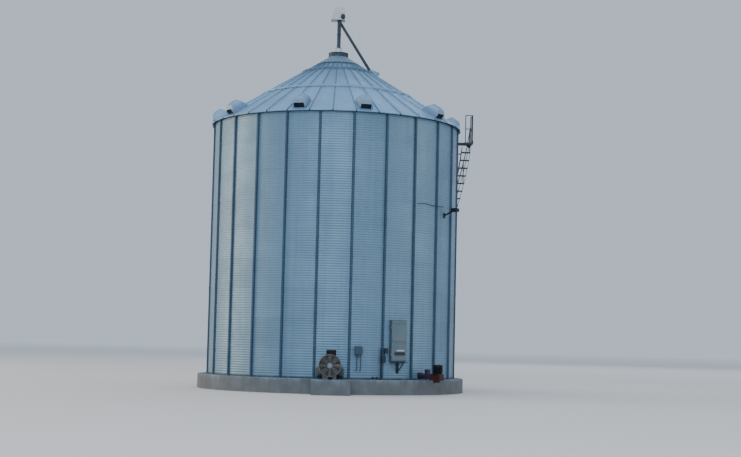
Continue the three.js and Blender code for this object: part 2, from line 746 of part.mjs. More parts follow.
// Sensor pipe that stands by the stiffener left of the door, with two boxes that reach past the stiffener
const sensor = facing(21.4);
const sensorY = -5600;
const sensorRadius = 28;
const sensorHeight = 1310;
const sensorBoxBack = -5570;
const sensorBoxFront = -5680;
const sensorBoxes = [[20, 190, 715, 970], [140, 290, 1095, 1310]];
const riserX = 165;
const riserRadius = 20;
const sensorPoint = (x, rise) => new THREE.Vector3(x, sensorY, foundationHeight + rise);
const riser = rod(sensorPoint(riserX, sensorBoxes[0][3] - weld), sensorPoint(riserX, sensorBoxes[1][2] + weld),
  riserRadius, 12);
addPiece('sensor_pipe', joined(rod(sensorPoint(0, 0), sensorPoint(0, sensorHeight), sensorRadius), riser,
  ...sensorBoxes.map(([x0, x1, z0, z1]) => block(x0, x1, sensorBoxFront, sensorBoxBack,
    foundationHeight + z0, foundationHeight + z1))), darkSteel, sensor);

// Unloading auger: a flanged tube out of the wall just over the base angle, with a clamp box on it, and its
// gearbox and upright motor at the end, beyond the foundation's edge
const unload = facing(unloadAzimuth);
const unloadZ = foundationHeight + 172;
const unloadEnd = -6170;
const wallFace = wallOuter * Math.cos(radians(facetAngle / 2));
const unloadRadius = 105;
const unloadFlangeHalf = 150;
const unloadFlangePlate = 26;
const unloadFlangeFoot = foundationHeight + angleHeight + 2;
const unloadFlangeTop = unloadZ + 150;
const clampHalf = 95;
const clampStart = -5850;
const clampEnd = -6010;
const clampTop = unloadZ + 290;
const gearHalfWidth = 140;
const gearBottom = foundationHeight + 12;
const gearTop = foundationHeight + 285;
const gearLength = 560;
const outletHalfWidth = 110;
const outletHalfLength = 100;
const outletBottom = foundationHeight - 80;
const gearMiddle = unloadEnd - gearLength / 2;
const unloadTube = rod(new THREE.Vector3(0, -wallFace - unloadFlangePlate / 2, unloadZ),
  new THREE.Vector3(0, unloadEnd, unloadZ), unloadRadius, 24);
addPiece('unload_tube', joined(unloadTube, block(-unloadFlangeHalf, unloadFlangeHalf,
  -wallFace - unloadFlangePlate, -wallFace - clearance, unloadFlangeFoot, unloadFlangeTop),
block(-clampHalf, clampHalf, clampEnd, clampStart, unloadZ, clampTop)), redPaint, unload);
addPiece('unload_gearbox', joined(
  block(-gearHalfWidth, gearHalfWidth, unloadEnd - gearLength, unloadEnd - clearance, gearBottom, gearTop),
  block(-outletHalfWidth, outletHalfWidth, gearMiddle - outletHalfLength, gearMiddle + outletHalfLength,
    outletBottom, gearTop - weld)), redPaint, unload);
const unloadMotorRadius = 220;
const unloadMotorFoot = gearTop + clearance;
const unloadMotorTop = foundationHeight + 675;
const unloadMotorY = -6510;
addPiece('unload_motor', turnedProfile([[0, unloadMotorFoot], [unloadMotorRadius, unloadMotorFoot],
  [unloadMotorRadius, unloadMotorTop], [0, unloadMotorTop]], 24)
  .translate(0, unloadMotorY, 0), darkSteel, unload);

// Wall lamp on an arm that slopes up from the wall sheet between two stiffeners
const lamp = facing(60);
const lampZ = foundationHeight + 7345;
const lampReach = 6010;
const lampHalf = new THREE.Vector3(140, 140, 75);
const lampPlateHalf = 60;
const lampPlate = 30;
const lampPlateHeight = 220;
const lampPlateBelow = 340;
const lampArmRadius = 35;
addPiece('wall_lamp', joined(
  block(-lampPlateHalf, lampPlateHalf, -wallOuter - lampPlate, -wallOuter - clearance,
    lampZ - lampPlateBelow, lampZ - lampPlateBelow + lampPlateHeight),
  rod(new THREE.Vector3(0, -wallOuter - lampPlate / 2, lampZ - lampPlateBelow + lampPlateHeight / 2),
    new THREE.Vector3(0, -lampReach, lampZ), lampArmRadius, 10),
  block(-lampHalf.x, lampHalf.x, -lampReach - lampHalf.y, -lampReach + lampHalf.y,
    lampZ - lampHalf.z, lampZ + lampHalf.z)), darkSteel, lamp);

// Stair: radial treads on an inner stringer that brackets hold off the stiffeners, rising round the back
const platformTop = foundationHeight + 10730;
const treadRise = 335;
const treadTurn = 2.1;
const treadCount = 31;
const stairTopAzimuth = 95.2;
const stairInner = 5830;
const stairOuter = 6250;
const bracketAzimuths = [97.5, 112.5, 127.5, 142.5, 157.5];
const bracketHalf = 20;
const bracketHeight = 50;
const bracketBelow = 90;
const stiffenerOuter = wallOuter + stiffenerDepth;
const stringerPlate = 12;
const stringerAbove = 60;
const stringerBelow = 180;
const stringerFirstStep = 0.2;
const treadPlate = 45;
const treadWidth = 210;
const treadWeld = 4;

function treadAzimuth(step) {
  return stairTopAzimuth + step * treadTurn;
}

function stringerColumn(radius, step) {
  const centre = outward(treadAzimuth(step)).multiplyScalar(radius);
  const z = platformTop - step * treadRise;
  const bottom = Math.max(z - stringerBelow, foundationHeight);
  return [centre.clone().setZ(bottom), centre.clone().setZ(Math.max(z, bottom) + stringerAbove)];
}

const stringerSteps = Array.from({ length: treadCount + 1 }, (_, i) => i + stringerFirstStep);
const stringer = skin(stringerSteps.map((step) => stringerColumn(stairInner + stringerPlate, step)),
  stringerSteps.map((step) => stringerColumn(stairInner, step)));
const treads = Array.from({ length: treadCount }, (_, i) => {
  const top = platformTop - (i + 1) * treadRise;
  return turned(block(-treadWidth / 2, treadWidth / 2, -stairOuter, -stairInner - treadWeld,
    top - treadPlate, top), treadAzimuth(i + 1));
});
const brackets = bracketAzimuths.map((azimuth) => {
  const bottom = platformTop - ((azimuth - stairTopAzimuth) / treadTurn) * treadRise - bracketBelow;
  return turned(block(-bracketHalf, bracketHalf, -stairInner - treadWeld, -stiffenerOuter - clearance,
    bottom, bottom + bracketHeight), azimuth);
});
addPiece('stair_flight', joined(stringer, ...treads, ...brackets), darkSteel);

// Stair rail: posts on the treads' outer ends and a bar that climbs over them
const railRadius = 20;
const railHeight = 950;
const railInset = 35;
const railLine = stairOuter - railInset;
const railOvershoot = 0.4;
const treadsPerPost = 4;
const postSteps = Array.from({ length: 8 }, (_, i) => 1 + i * treadsPerPost);

function railPoint(step, lift) {
  return outward(treadAzimuth(step)).multiplyScalar(railLine).setZ(platformTop - step * treadRise + lift);
}

const railCurve = new THREE.CatmullRomCurve3(Array.from({ length: treadCount + 1 }, (_, i) =>
  railPoint(i + railOvershoot, railHeight)));
const railSection = new THREE.Shape().absarc(0, 0, railRadius, 0, Math.PI * 2);
const railBar = new THREE.ExtrudeGeometry(railSection, {
  steps: treadCount, curveSegments: 4, extrudePath: railCurve, bevelEnabled: false,
});
const railPosts = postSteps.map((step) =>
  rod(railPoint(step, 0), railPoint(step, railHeight), railRadius, 8));
addPiece('stair_rail', joined(railBar, ...railPosts), darkSteel);

// Platform below the eave at the stair's head, on two arms from the wall, with a wedge under its outer corner
const platformFrom = 88.6;
const platformTo = 95.7;
const platformPlate = 60;
const platformInner = stairInner + 20;
const platformOuter = stairOuter;
const platformSteps = 4;
const armAzimuths = [90, 93.75];
const armHalf = 20;
const armTip = platformOuter - 100;
const armDrop = 90;
const armFoot = 45;
const wedgeAzimuth = 94.9;
const wedgeDrop = 170;

function plateRing(radius) {
  return Array.from({ length: platformSteps + 1 }, (_, i) =>
    outward(THREE.MathUtils.lerp(platformFrom, platformTo, i / platformSteps)).multiplyScalar(radius));
}

const armTop = platformTop - weld;
const arms = armAzimuths.map((azimuth) => turned(sideProfile([[-wallOuter - clearance, armTop],
  [-wallOuter - clearance, armTop - armDrop - armFoot], [-wallOuter - armFoot, armTop - armDrop - armFoot],
  [-wallOuter - armFoot, armTop - armDrop], [-armTip, armTop - platformPlate], [-armTip, armTop]],
-armHalf, armHalf), azimuth));
const wedge = turned(sideProfile([[-platformOuter + 20, armTop], [-platformOuter + 20, armTop - platformPlate],
  [-platformOuter + 60, armTop - wedgeDrop], [-platformOuter + 110, armTop - wedgeDrop],
  [-platformOuter + 240, armTop - platformPlate], [-platformOuter + 240, armTop]],
-armHalf, armHalf), wedgeAzimuth);
const plate = (radius) => plateRing(radius).map((point) =>
  [point.clone().setZ(platformTop - platformPlate), point.clone().setZ(platformTop)]);
addPiece('platform', joined(skin(plate(platformOuter), plate(platformInner)), ...arms, wedge), darkSteel);

// Platform rail: posts and two bars along the outer side and across the front end
const platformRailHeight = 1240;
const deckRailInset = 40;
const railCorners = [[89.1, platformInner + deckRailInset], [89.1, platformOuter - deckRailInset],
  [92.2, platformOuter - deckRailInset], [95.3, platformOuter - deckRailInset]];
const deckRailPoint = ([azimuth, radius], lift) => outward(azimuth).multiplyScalar(radius)
  .setZ(platformTop + lift);
const deckPosts = railCorners.map((corner) =>
  rod(deckRailPoint(corner, 0), deckRailPoint(corner, platformRailHeight), railRadius, 8));
const deckBars = [platformRailHeight, platformRailHeight / 2].flatMap((lift) => railCorners.slice(1).map(
  (corner, i) => rod(deckRailPoint(railCorners[i], lift), deckRailPoint(corner, lift), railRadius, 8)));
addPiece('platform_rail', joined(...deckPosts, ...deckBars), darkSteel);

// Base steps: a concrete block beside the foundation at the stair's foot, in two steps up to its top
const stairBaseHalf = 420;
const stairBaseFronts = [-6750, -6400];
const stairBaseHeights = [foundationHeight / 2, foundationHeight];
const stairBaseBlocks = stairBaseFronts.map((front, i) => turned(block(-stairBaseHalf, stairBaseHalf, front,
  insideFoundation, 0, stairBaseHeights[i]), treadAzimuth(treadCount + 1)));
addPiece('stair_base', cut(joined(...stairBaseBlocks), foundationDisc(besideFoundation)), concrete);

// Aeration floor: a steel deck over the air space, on rows of supports that stand on the foundation
const floorUnderside = foundationHeight + 460;
const floorTop = foundationHeight + 500;
const floorEdgeGap = 14;
const floorRadius = wallInner - floorEdgeGap;
addPiece('aeration_floor', turnedProfile([[0, floorUnderside], [floorRadius, floorUnderside],
  [floorRadius, floorTop], [0, floorTop]], foundationFacets), galvanised);

const supportRows = [-4900, -3500, -2100, -700, 700, 2100, 3500, 4900];
const supportPlate = 40;
const supportReach = 5300;
const tieBelowFloor = 60;
const supportBars = supportRows.map((x) => {
  const half = Math.sqrt(supportReach ** 2 - x ** 2);
  return block(x - supportPlate / 2, x + supportPlate / 2, -half, half, foundationHeight,
    floorUnderside - clearance);
});
const supportTie = block(-supportReach, supportReach, -supportPlate / 2, supportPlate / 2,
  foundationHeight, floorUnderside - tieBelowFloor);
addPiece('floor_supports', joined(...supportBars, supportTie), galvanised);

export default silo;
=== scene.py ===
import math

import bmesh
import bpy
import numpy as np
from mathutils import Matrix, Vector


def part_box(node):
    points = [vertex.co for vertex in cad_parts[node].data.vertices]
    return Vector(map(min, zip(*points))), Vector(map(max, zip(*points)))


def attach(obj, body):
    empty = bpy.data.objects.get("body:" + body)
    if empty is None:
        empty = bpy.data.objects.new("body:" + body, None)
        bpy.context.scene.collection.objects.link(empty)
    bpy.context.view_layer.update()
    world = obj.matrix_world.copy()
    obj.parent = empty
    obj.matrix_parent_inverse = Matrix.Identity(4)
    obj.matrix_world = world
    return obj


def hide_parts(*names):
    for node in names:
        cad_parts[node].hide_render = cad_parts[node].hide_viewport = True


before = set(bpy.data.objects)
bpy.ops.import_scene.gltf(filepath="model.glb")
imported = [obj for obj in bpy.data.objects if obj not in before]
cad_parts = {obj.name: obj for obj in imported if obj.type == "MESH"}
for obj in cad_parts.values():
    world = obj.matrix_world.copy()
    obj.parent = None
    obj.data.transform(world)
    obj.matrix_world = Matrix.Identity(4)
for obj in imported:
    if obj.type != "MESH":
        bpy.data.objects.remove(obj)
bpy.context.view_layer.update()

# Camera: the silo was photographed from the ground 64 m in front of it, a little left of its fan,
# looking slightly up and past its right side, with the camera turned a little on its own axis.
camera_place = (-0.335, -64.006, 2.26)
camera_turns = (("Z", -1.776), ("X", 94.505), ("Z", 1.319))
camera_data = bpy.data.cameras.new("camera")
camera_data.lens = 68.72
camera_data.clip_end = 1000


def in_scene(name, data):
    """A new object in the scene that holds some data."""
    made = bpy.data.objects.new(name, data)
    bpy.context.scene.collection.objects.link(made)
    return made


camera_view = Matrix.Translation(camera_place)
for axis, degrees in camera_turns:
    camera_view = camera_view @ Matrix.Rotation(math.radians(degrees), 4, axis)
camera = in_scene("camera", camera_data)
camera.matrix_world = camera_view
bpy.context.scene.camera = camera


# Floor and light: a plain pale floor that turns into the pale surround far away, and large soft
# lights: warm ones low on both sides, a cool one from the front, a high one and one behind.
floor_half = 600
softboxes = (
    ("warm_side", (-66, 12, 18), 7, 34, 31000, (1.0, 0.74, 0.45)),
    ("warm_right", (66, -16, 22), 7, 34, 8500, (1.0, 0.80, 0.60)),
    ("cool_front", (-6, -76, 40), 6, 40, 23000, (0.90, 0.95, 1.0)),
    ("high", (-10, -20, 70), 6, 50, 14000, (0.92, 0.96, 1.0)),
    ("behind", (30, 70, 50), 6, 60, 14000, (0.95, 0.97, 1.0)))


def put(tree, kind, links=None, **settings):
    """The outputs of a new shader node, with properties set and inputs given as values or sockets."""
    made = tree.nodes.new("ShaderNode" + kind)
    for key, value in settings.items():
        setattr(made, key, value)
    for key, value in (links or {}).items():
        if isinstance(value, bpy.types.NodeSocket):
            tree.links.new(value, made.inputs[key])
        else:
            made.inputs[key].default_value = value
    return made.outputs


def mixed(factor, first, second):
    """The colour between two colours."""
    return put(factor.id_data, "Mix", {0: factor, 6: first, 7: second}, data_type="RGBA")[2]


def remapped(value, low, high, at_low=0.0, at_high=1.0, kind="LINEAR"):
    """A value taken from one range to another, and kept inside it."""
    return put(value.id_data, "MapRange", {0: value, 1: low, 2: high, 3: at_low, 4: at_high},
               interpolation_type=kind)[0]


def new_material(name):
    """A new material, its node tree and the inputs of its shader."""
    made = bpy.data.materials.new(name)
    made.use_nodes = True
    return made, made.node_tree, made.node_tree.nodes["Principled BSDF"].inputs


floor_mesh = bpy.data.meshes.new("floor")
floor_corners = [(floor_half * x, floor_half * y, 0) for x, y in ((-1, -1), (1, -1), (1, 1), (-1, 1))]
floor_mesh.from_pydata(floor_corners, [], [(0, 1, 2, 3)])
in_scene("floor", floor_mesh)
floor_paint, floor_tree, floor_shader = new_material("floor_paint")
floor_place = put(floor_tree, "TexCoord")["Object"]
floor_distance = put(floor_tree, "VectorMath", {0: floor_place}, operation="LENGTH")["Value"]
floor_colour = mixed(remapped(floor_distance, 30, 260), (0.56, 0.56, 0.56, 1), (1, 1, 1, 1))
floor_shader["Roughness"].default_value = 0.9
floor_tree.links.new(floor_colour, floor_shader["Base Color"])
floor_mesh.materials.append(floor_paint)

surround = bpy.data.worlds.new("surround")
surround.use_nodes = True
background = surround.node_tree.nodes["Background"].inputs
background["Color"].default_value = (0.57, 0.66, 0.78, 1)
background["Strength"].default_value = 0.95
bpy.context.scene.world = surround
for name, place, aim_height, size, power, colour in softboxes:
    lamp = bpy.data.lights.new(name, "AREA")
    lamp.shape = "SQUARE"
    lamp.size = size
    lamp.energy = power
    lamp.color = colour
    aim = (Vector((0, 0, aim_height)) - Vector(place)).to_track_quat("-Z", "Y")
    in_scene(name, lamp).matrix_world = Matrix.Translation(place) @ aim.to_matrix().to_4x4()


# Foundation: a round slab of cast concrete that the silo stands on, with a worn upper edge and
# the slight waves that its curved formwork left in the side.
base_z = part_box("foundation")[1].z
slab_radius = 5.95
slab_edge = 0.03
slab_waves = 0.004
crease_angle = 35
concrete_light, concrete_dark = (0.188, 0.256, 0.318, 1), (0.076, 0.113, 0.148, 1)
earth = (0.108, 0.116, 0.122, 1)
no_triangles = np.empty((0, 3), int)


def at(x, y, z):
    """Points from arrays of x, y and z, or from numbers."""
    return np.stack(np.broadcast_arrays(x, y, z), axis=-1)


def polar(azimuth, radius, height):
    """Points at an azimuth in degrees (0 is the front, 90 the right side), a radius and a height."""
    return at(radius * np.sin(np.radians(azimuth)), -radius * np.cos(np.radians(azimuth)), height)


def sleeve(points, ring=False):
    """Quads over points[u, v], closed round u, and in a ring also along v."""
    index = np.arange(points.shape[0] * points.shape[1]).reshape(points.shape[:2])
    index = np.vstack([index, index[:1]])
    if ring:
        index = np.hstack([index, index[:, :1]])
    quads = np.stack([index[:-1, :-1], index[1:, :-1], index[1:, 1:], index[:-1, 1:]], axis=-1)
    return points.reshape(-1, 3), quads.reshape(-1, 4), no_triangles


def capped(points, first, last):
    """A sleeve over points[u, v] whose two ends are closed with fans from a first and a last point."""
    sides, count = points.shape[:2]
    around, quads, _ = sleeve(points)
    start = np.arange(sides) * count
    after = np.roll(start, -1)
    fans = [np.stack([np.full(sides, len(around)), after, start], axis=-1),
            np.stack([np.full(sides, len(around) + 1), start + count - 1, after + count - 1], axis=-1)]
    return np.vstack([around, [first, last]]), quads, np.vstack(fans)


def turned(profile, segments, low, high, waves=None):
    """A profile of radius and height turned about Z, with ends that close on a low and a high point."""
    azimuth = np.linspace(0, 360, segments, endpoint=False)[:, None]
    radius, height = np.array(profile, float).T
    if waves is not None:
        radius = radius + waves(azimuth, radius)
    return capped(polar(azimuth, radius, height), (0, 0, low), (0, 0, high))


def finished(mesh, finish, replaces, body="silo", crease=crease_angle, slot=None):
    """The object of a mesh: smooth except at edges past the crease, and on its body; its slot is not used."""
    mesh.shade_smooth()
    mesh.set_sharp_from_angle(angle=math.radians(crease))
    mesh.materials.append(finish)
    made = in_scene(mesh.name, mesh)
    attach(made, body)
    if replaces:
        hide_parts(*replaces)
    return made


def piece(name, parts, finish, *replaces, tones=None, **settings):
    """One mesh from parts, each of them points, quads and triangles, perhaps with a tone for each part."""
    counts = [len(part[0]) for part in parts]
    starts = np.cumsum([0] + counts[:-1])
    points, quads, triangles = (
        np.vstack([part[k] + (start if k else 0) for part, start in zip(parts, starts)]) for k in range(3))
    mesh = bpy.data.meshes.new(name)
    mesh.from_pydata(points.astype(np.float32).tolist(), [], quads.tolist() + triangles.tolist())
    if tones is not None:
        spread = np.concatenate([np.broadcast_to(tone, count) for tone, count in zip(tones, counts)])
        mesh.attributes.new("tone", "FLOAT", "POINT").data.foreach_set("value", spread.astype(np.float32))
    mesh.validate()
    return finished(mesh, finish, replaces, **settings)


def scaled(value, factor, offset=0.0):
    """A value times a factor, plus an offset; the last two may be sockets or numbers."""
    links = {0: value, 1: factor, 2: offset}
    return put(value.id_data, "Math", links, operation="MULTIPLY_ADD")[0]


def noise(place, scale, detail, stretch=(1, 1, 1)):
    """Noise on a place that is first scaled by a different amount along each axis."""
    place = put(place.id_data, "Mapping", {"Vector": place, "Scale": stretch})[0]
    links = {"Vector": place, "Scale": scale, "Detail": detail}
    return put(place.id_data, "TexNoise", links)["Fac"]


def shader_group(name, inputs, outputs, build):
    """A node group; build gets its tree and its inputs and gives the sockets for its outputs."""
    group = bpy.data.node_groups.new(name, "ShaderNodeTree")
    for label, value in inputs.items():
        kind = "NodeSocketColor" if isinstance(value, tuple) else "NodeSocketFloat"
        group.interface.new_socket(label, in_out="INPUT", socket_type=kind).default_value = value
    for label in outputs:
        kind = "NodeSocketColor" if label == "Color" else "NodeSocketFloat"
        group.interface.new_socket(label, in_out="OUTPUT", socket_type=kind)
    given, made = group.nodes.new("NodeGroupInput"), group.nodes.new("NodeGroupOutput")
    for label, value in zip(outputs, build(group, given.outputs)):
        group.links.new(value, made.inputs[label])
    return group


def weathering(group, given):
    """Dirt and stains on a standing surface: splashes near the ground, patches, and runs of rain."""
    place = put(group, "TexCoord")["Object"]
    height = put(group, "SeparateXYZ", {0: place})["Z"]
    lift = scaled(noise(place, 3.0, 5), given["Splash Height"], 0.2 * base_z)
    splash = remapped(scaled(lift, -1, height), 0, given["Splash Height"], 1, 0, "SMOOTHSTEP")
    sized = put(group, "VectorMath", {0: place, "Scale": given["Patch Size"]}, operation="SCALE")[0]
    return splash, noise(sized, 1.1, 6), noise(place, 1.0, 4, (7, 7, 0.22)), noise(place, 140, 2)


def cast_surface(group, given):
    """Cast concrete: cloudy grey with pores, darker rain runs and earth splashed up from the ground."""
    dirt = put(group, "Group", {"Splash Height": 0.45, "Patch Size": 1.6}, node_tree=weather)
    cloud = scaled(dirt["Grain"], 0.35, scaled(remapped(dirt["Patch"], 0.36, 0.64), 1, -0.17))
    cast = mixed(cloud, concrete_dark, concrete_light)
    stained = mixed(remapped(dirt["Run"], 0.45, 0.7, 0.0, 0.5), cast, concrete_dark)
    colour = mixed(scaled(dirt["Splash"], 0.75), stained, earth)
    return colour, scaled(dirt["Grain"], 0.2, 0.78), scaled(dirt["Grain"], 1, dirt["Patch"])


def shaded(name, group, values, metallic, strength, distance, specular=0.5):
    """A material whose colour, roughness and bump come from a group."""
    material, tree, shader = new_material(name)
    surface = put(tree, "Group", values, node_tree=group)
    bump = put(tree, "Bump", {"Height": surface["Height"], "Strength": strength, "Distance": distance})
    shader["Metallic"].default_value = metallic
    shader["Specular IOR Level"].default_value = specular
    tree.links.new(surface["Color"], shader["Base Color"])
    tree.links.new(surface["Roughness"], shader["Roughness"])
    tree.links.new(bump[0], shader["Normal"])
    return material


def formwork(azimuth, radius):
    """Radial waves of the side: two sines round the slab, none towards the middle."""
    wave = np.sin(np.radians(azimuth * 24)) + 0.6 * np.sin(np.radians(azimuth * 61 + 40))
    return np.where(radius > slab_radius - 0.2, slab_waves * (wave - 1.6), 0)


weather = shader_group(
    "weather", {"Splash Height": 0.5, "Patch Size": 1.0}, ("Splash", "Patch", "Run", "Grain"), weathering)
surface_outputs = ("Color", "Roughness", "Height")
cast = shader_group("cast", {}, surface_outputs, cast_surface)
concrete = shaded("cast_concrete", cast, {}, 0.0, 0.5, 0.006)
slab = [(slab_radius, z) for z in (0, 0.2, 0.4, base_z - slab_edge)] + [(slab_radius - slab_edge, base_z)]
piece("foundation_slab", [turned(slab, 240, 0, base_z, formwork)], concrete, "foundation")


# Fan pad and stair base: two plain concrete blocks cast against the slab, one under the fan and
# one at the foot of the stair, with the same finish as the slab and broken edges.
def dressed(node, finish, bevel, **settings):
    """A copy of a CAD node, its triangles merged into whole faces and its edges rounded."""
    work = bmesh.new()
    work.from_mesh(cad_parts[node].data)
    bmesh.ops.remove_doubles(work, verts=work.verts, dist=1e-5)
    bmesh.ops.dissolve_limit(work, angle_limit=math.radians(0.5), verts=work.verts, edges=work.edges)
    mesh = bpy.data.meshes.new(node + "_finished")
    work.to_mesh(mesh)
    work.free()
    rounding = finished(mesh, finish, [node], **settings).modifiers.new("rounding", "BEVEL")
    rounding.width = bevel
    rounding.segments = 2
    rounding.limit_method = "ANGLE"
    rounding.angle_limit = math.radians(crease_angle)


dressed("fan_pad", concrete, 0.02)
dressed("stair_base", concrete, 0.02)


# Aeration floor: perforated steel planks laid side by side across the bin above the air space,
# on rows of plate supports that stand on the slab.
floor_low, floor_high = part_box("aeration_floor")
floor_radius = floor_high.x
plank_width = 0.203
plank_lip = 0.012
plank_gap = 0.004


def zinc_surface(group, given):
    """Galvanised steel: spangle in the zinc, dull patches, rain runs and each sheet's own tone, which on the
    roof also holds painted shade that darkens it towards the peak.
    """
    place = put(group, "TexCoord")["Object"]
    dirt = put(group, "Group", {"Splash Height": given["Dust Height"]}, node_tree=weather)
    cells = put(group, "TexVoronoi", {"Vector": place, "Scale": 70.0})["Color"]
    flake = put(group, "SeparateColor", {0: cells})[0]
    tone = put(group, "Attribute", attribute_name="tone")["Fac"]
    runs = scaled(dirt["Run"], 0.28, 1 - 0.14)
    light = scaled(scaled(flake, 1, -0.5), given["Spangle"], scaled(tone, given["Tone"], runs))
    faded = scaled(remapped(dirt["Patch"], 0.3, 0.7), given["Dullness"])
    base = mixed(faded, given["Zinc"], given["Dull"])
    lit = put(group, "VectorMath", {0: base, "Scale": light}, operation="SCALE")[0]
    soil = scaled(dirt["Splash"], 0.55)
    matt = scaled(soil, 0.4, scaled(dirt["Patch"], 0.22, given["Polish"]))
    return mixed(soil, lit, given["Dust"]), scaled(flake, 0.06, matt), scaled(dirt["Grain"], 0.5, flake)


galvanised = shader_group("galvanised", {
    "Zinc": (0.2, 0.3, 0.35, 1.0), "Dull": (0.15, 0.2, 0.25, 1.0), "Dust": (0.25, 0.32, 0.36, 1.0),
    "Spangle": 0.12, "Tone": 0.05, "Dullness": 0.5, "Dust Height": 0.8, "Polish": 0.35},
    surface_outputs, zinc_surface)


def zinc(name, slot, bright, dull, metallic, polish=0.35, dust=0.8, **values):
    """A galvanised finish with its own colours, gloss, height of dust and strength of weathering."""
    values = {label.title(): value for label, value in values.items()}
    values.update({"Zinc": (*bright, 1), "Dull": (*dull, 1), "Polish": polish, "Dust Height": dust})
    return shaded(name, galvanised, values, metallic, 0.12, 0.001)


fitting = "galvanised_fitting"
floor_zinc = zinc("floor_zinc", fitting, (0.36, 0.37, 0.36), (0.22, 0.22, 0.21), 0.5, dullness=0.9)
box_signs = np.array([(x, y, z) for x in (-1, 1) for y in (-1, 1) for z in (-1, 1)])
box_shape = np.concatenate([box_signs * np.where(np.arange(3) == axis, 1, 0.5) for axis in range(3)])


def box_face(direction):
    """The points of the box's shape that lie furthest in a direction, in order round it."""
    reach = box_shape @ direction
    found = np.flatnonzero(reach > reach.max() - 0.1)
    around = box_shape[found] - box_shape[found].mean(axis=0)
    first = np.cross(direction, (0.3, 0.5, 0.8))
    return found[np.argsort(np.arctan2(around @ np.cross(direction, first), around @ first))]


box_faces = [box_face((x, y, z)) for x in (-1, 0, 1) for y in (-1, 0, 1) for z in (-1, 0, 1) if x or y or z]
box_quads, box_triangles = (np.array([face for face in box_faces if len(face) == count]) for count in (4, 3))


def box(low, high, bevel=0.002):
    """A box with chamfered edges: each corner becomes three points, one on each face that meets there."""
    low, high = np.asarray(low, float), np.asarray(high, float)
    inward = -box_signs * min(bevel, 0.3 * float(np.min(high - low)))
    corner = np.where(box_signs > 0, high, low)
    return np.concatenate([corner + inward * (np.arange(3) != k) for k in range(3)]), box_quads, box_triangles


def facing(azimuth, *parts):
    """Parts made for the front (outwards is -Y), turned about the silo's axis to an azimuth."""
    cos, sin = math.cos(math.radians(azimuth)), math.sin(math.radians(azimuth))
    turn = np.array([[cos, sin, 0], [-sin, cos, 0], [0, 0, 1]])
    return [(points @ turn, quads, triangles) for points, quads, triangles in parts]


planks = []
for left in np.arange(-floor_radius, floor_radius, plank_width):
    right = min(left + plank_width - plank_gap, floor_radius)
    reach = math.sqrt(max(floor_radius ** 2 - max(abs(left), abs(right)) ** 2, 0.01))
    planks += [box((left, -reach, floor_low.z), (right, reach, floor_high.z - plank_lip / 2), 0.004),
               box((left, -reach, floor_high.z - plank_lip), (left + plank_lip, reach, floor_high.z), 0.003)]
piece("floor_planks", planks, floor_zinc, "aeration_floor")
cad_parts["floor_supports"].data.materials.clear()
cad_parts["floor_supports"].data.materials.append(floor_zinc)


# Wall sheets: galvanised steel with horizontal corrugations, curved and bolted in nine rings. Each
# ring laps outside the one below, and a sheet spans two stiffeners, with the rings staggered.
bin_radius = 5.486
wall_outer = 5.494
ring_count = 9
wall_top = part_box("wall_right")[1].z
ring_height = (wall_top - base_z) / ring_count
waves_per_ring = 12
corrugation = ring_height / waves_per_ring
wave_half_depth = 0.0055
wall_gauge = 0.002
ring_lap = 0.03
ring_lean = 0.0015
rows_per_wave = 6
column_step = 2.5
first_stiffener = 7.5
stiffener_spacing = 15
sheet_span = 30
sheet_tones = np.random.default_rng(7).normal(0, 1, (ring_count, 12))
door_azimuth = 30
door_low, door_high = base_z + 0.76, base_z + 2.495
door_half_angle = math.degrees(math.asin(0.40 / bin_radius))
door_left, door_right = door_azimuth - door_half_angle, door_azimuth + door_half_angle
fan_azimuth = -0.6
duct_half_width = 0.55
duct_low, duct_high = base_z + 0.08, base_z + 0.41
duct_half_angle = math.degrees(math.asin(duct_half_width / bin_radius))
duct_left, duct_right = fan_azimuth - duct_half_angle, fan_azimuth + duct_half_angle
wall_zinc = zinc("wall_zinc", "wall_sheet", (0.148, 0.262, 0.375), (0.112, 0.208, 0.308), 0.45, 0.38, 0.5,
                 spangle=0.10, tone=0.035)
whole = (base_z, wall_top)
wall_stretches = {
    "left_of_duct": (-52.5, duct_left, *whole), "right_of_duct": (duct_right, 7.5, *whole),
    "over_duct": (duct_left, duct_right, duct_high, wall_top),
    "under_duct": (duct_left, duct_right, base_z, duct_low),
    "left_of_door": (7.5, door_left, *whole), "right_of_door": (door_right, 67.5, *whole),
    "over_door": (door_left, door_right, door_high, wall_top),
    "under_door": (door_left, door_right, base_z, door_low),
    "right": (67.5, 127.5, *whole), "back_right": (127.5, 187.5, *whole), "back_left": (187.5, 247.5, *whole),
    "left": (247.5, 307.5, *whole)}


def wave(height):
    """The corrugation: a cosine up the wall, with a crest at each ring's seam."""
    return wave_half_depth * np.cos(2 * np.pi * (height - base_z) / corrugation)


def skin(outer, inner, wrap_u=False):
    """A closed shell between two grids of points [u, v] of the same size, outer's faces outwards."""
    index = np.arange(outer.shape[0] * outer.shape[1]).reshape(outer.shape[:2])
    if wrap_u:
        index = np.vstack([index, index[:1]])
    inside = index + outer.shape[0] * outer.shape[1]
    faces = [(index[:-1, :-1], index[1:, :-1], index[1:, 1:], index[:-1, 1:]),
             (inside[:-1, :-1], inside[:-1, 1:], inside[1:, 1:], inside[1:, :-1]),
             (index[1:, 0], index[:-1, 0], inside[:-1, 0], inside[1:, 0]),
             (index[:-1, -1], index[1:, -1], inside[1:, -1], inside[:-1, -1])]
    if not wrap_u:
        faces += [(index[0, :-1], index[0, 1:], inside[0, 1:], inside[0, :-1]),
                  (index[-1, 1:], index[-1, :-1], inside[-1, :-1], inside[-1, 1:])]
    quads = np.vstack([np.stack(corners, axis=-1).reshape(-1, 4) for corners in faces])
    return np.vstack([outer.reshape(-1, 3), inner.reshape(-1, 3)]), quads, no_triangles


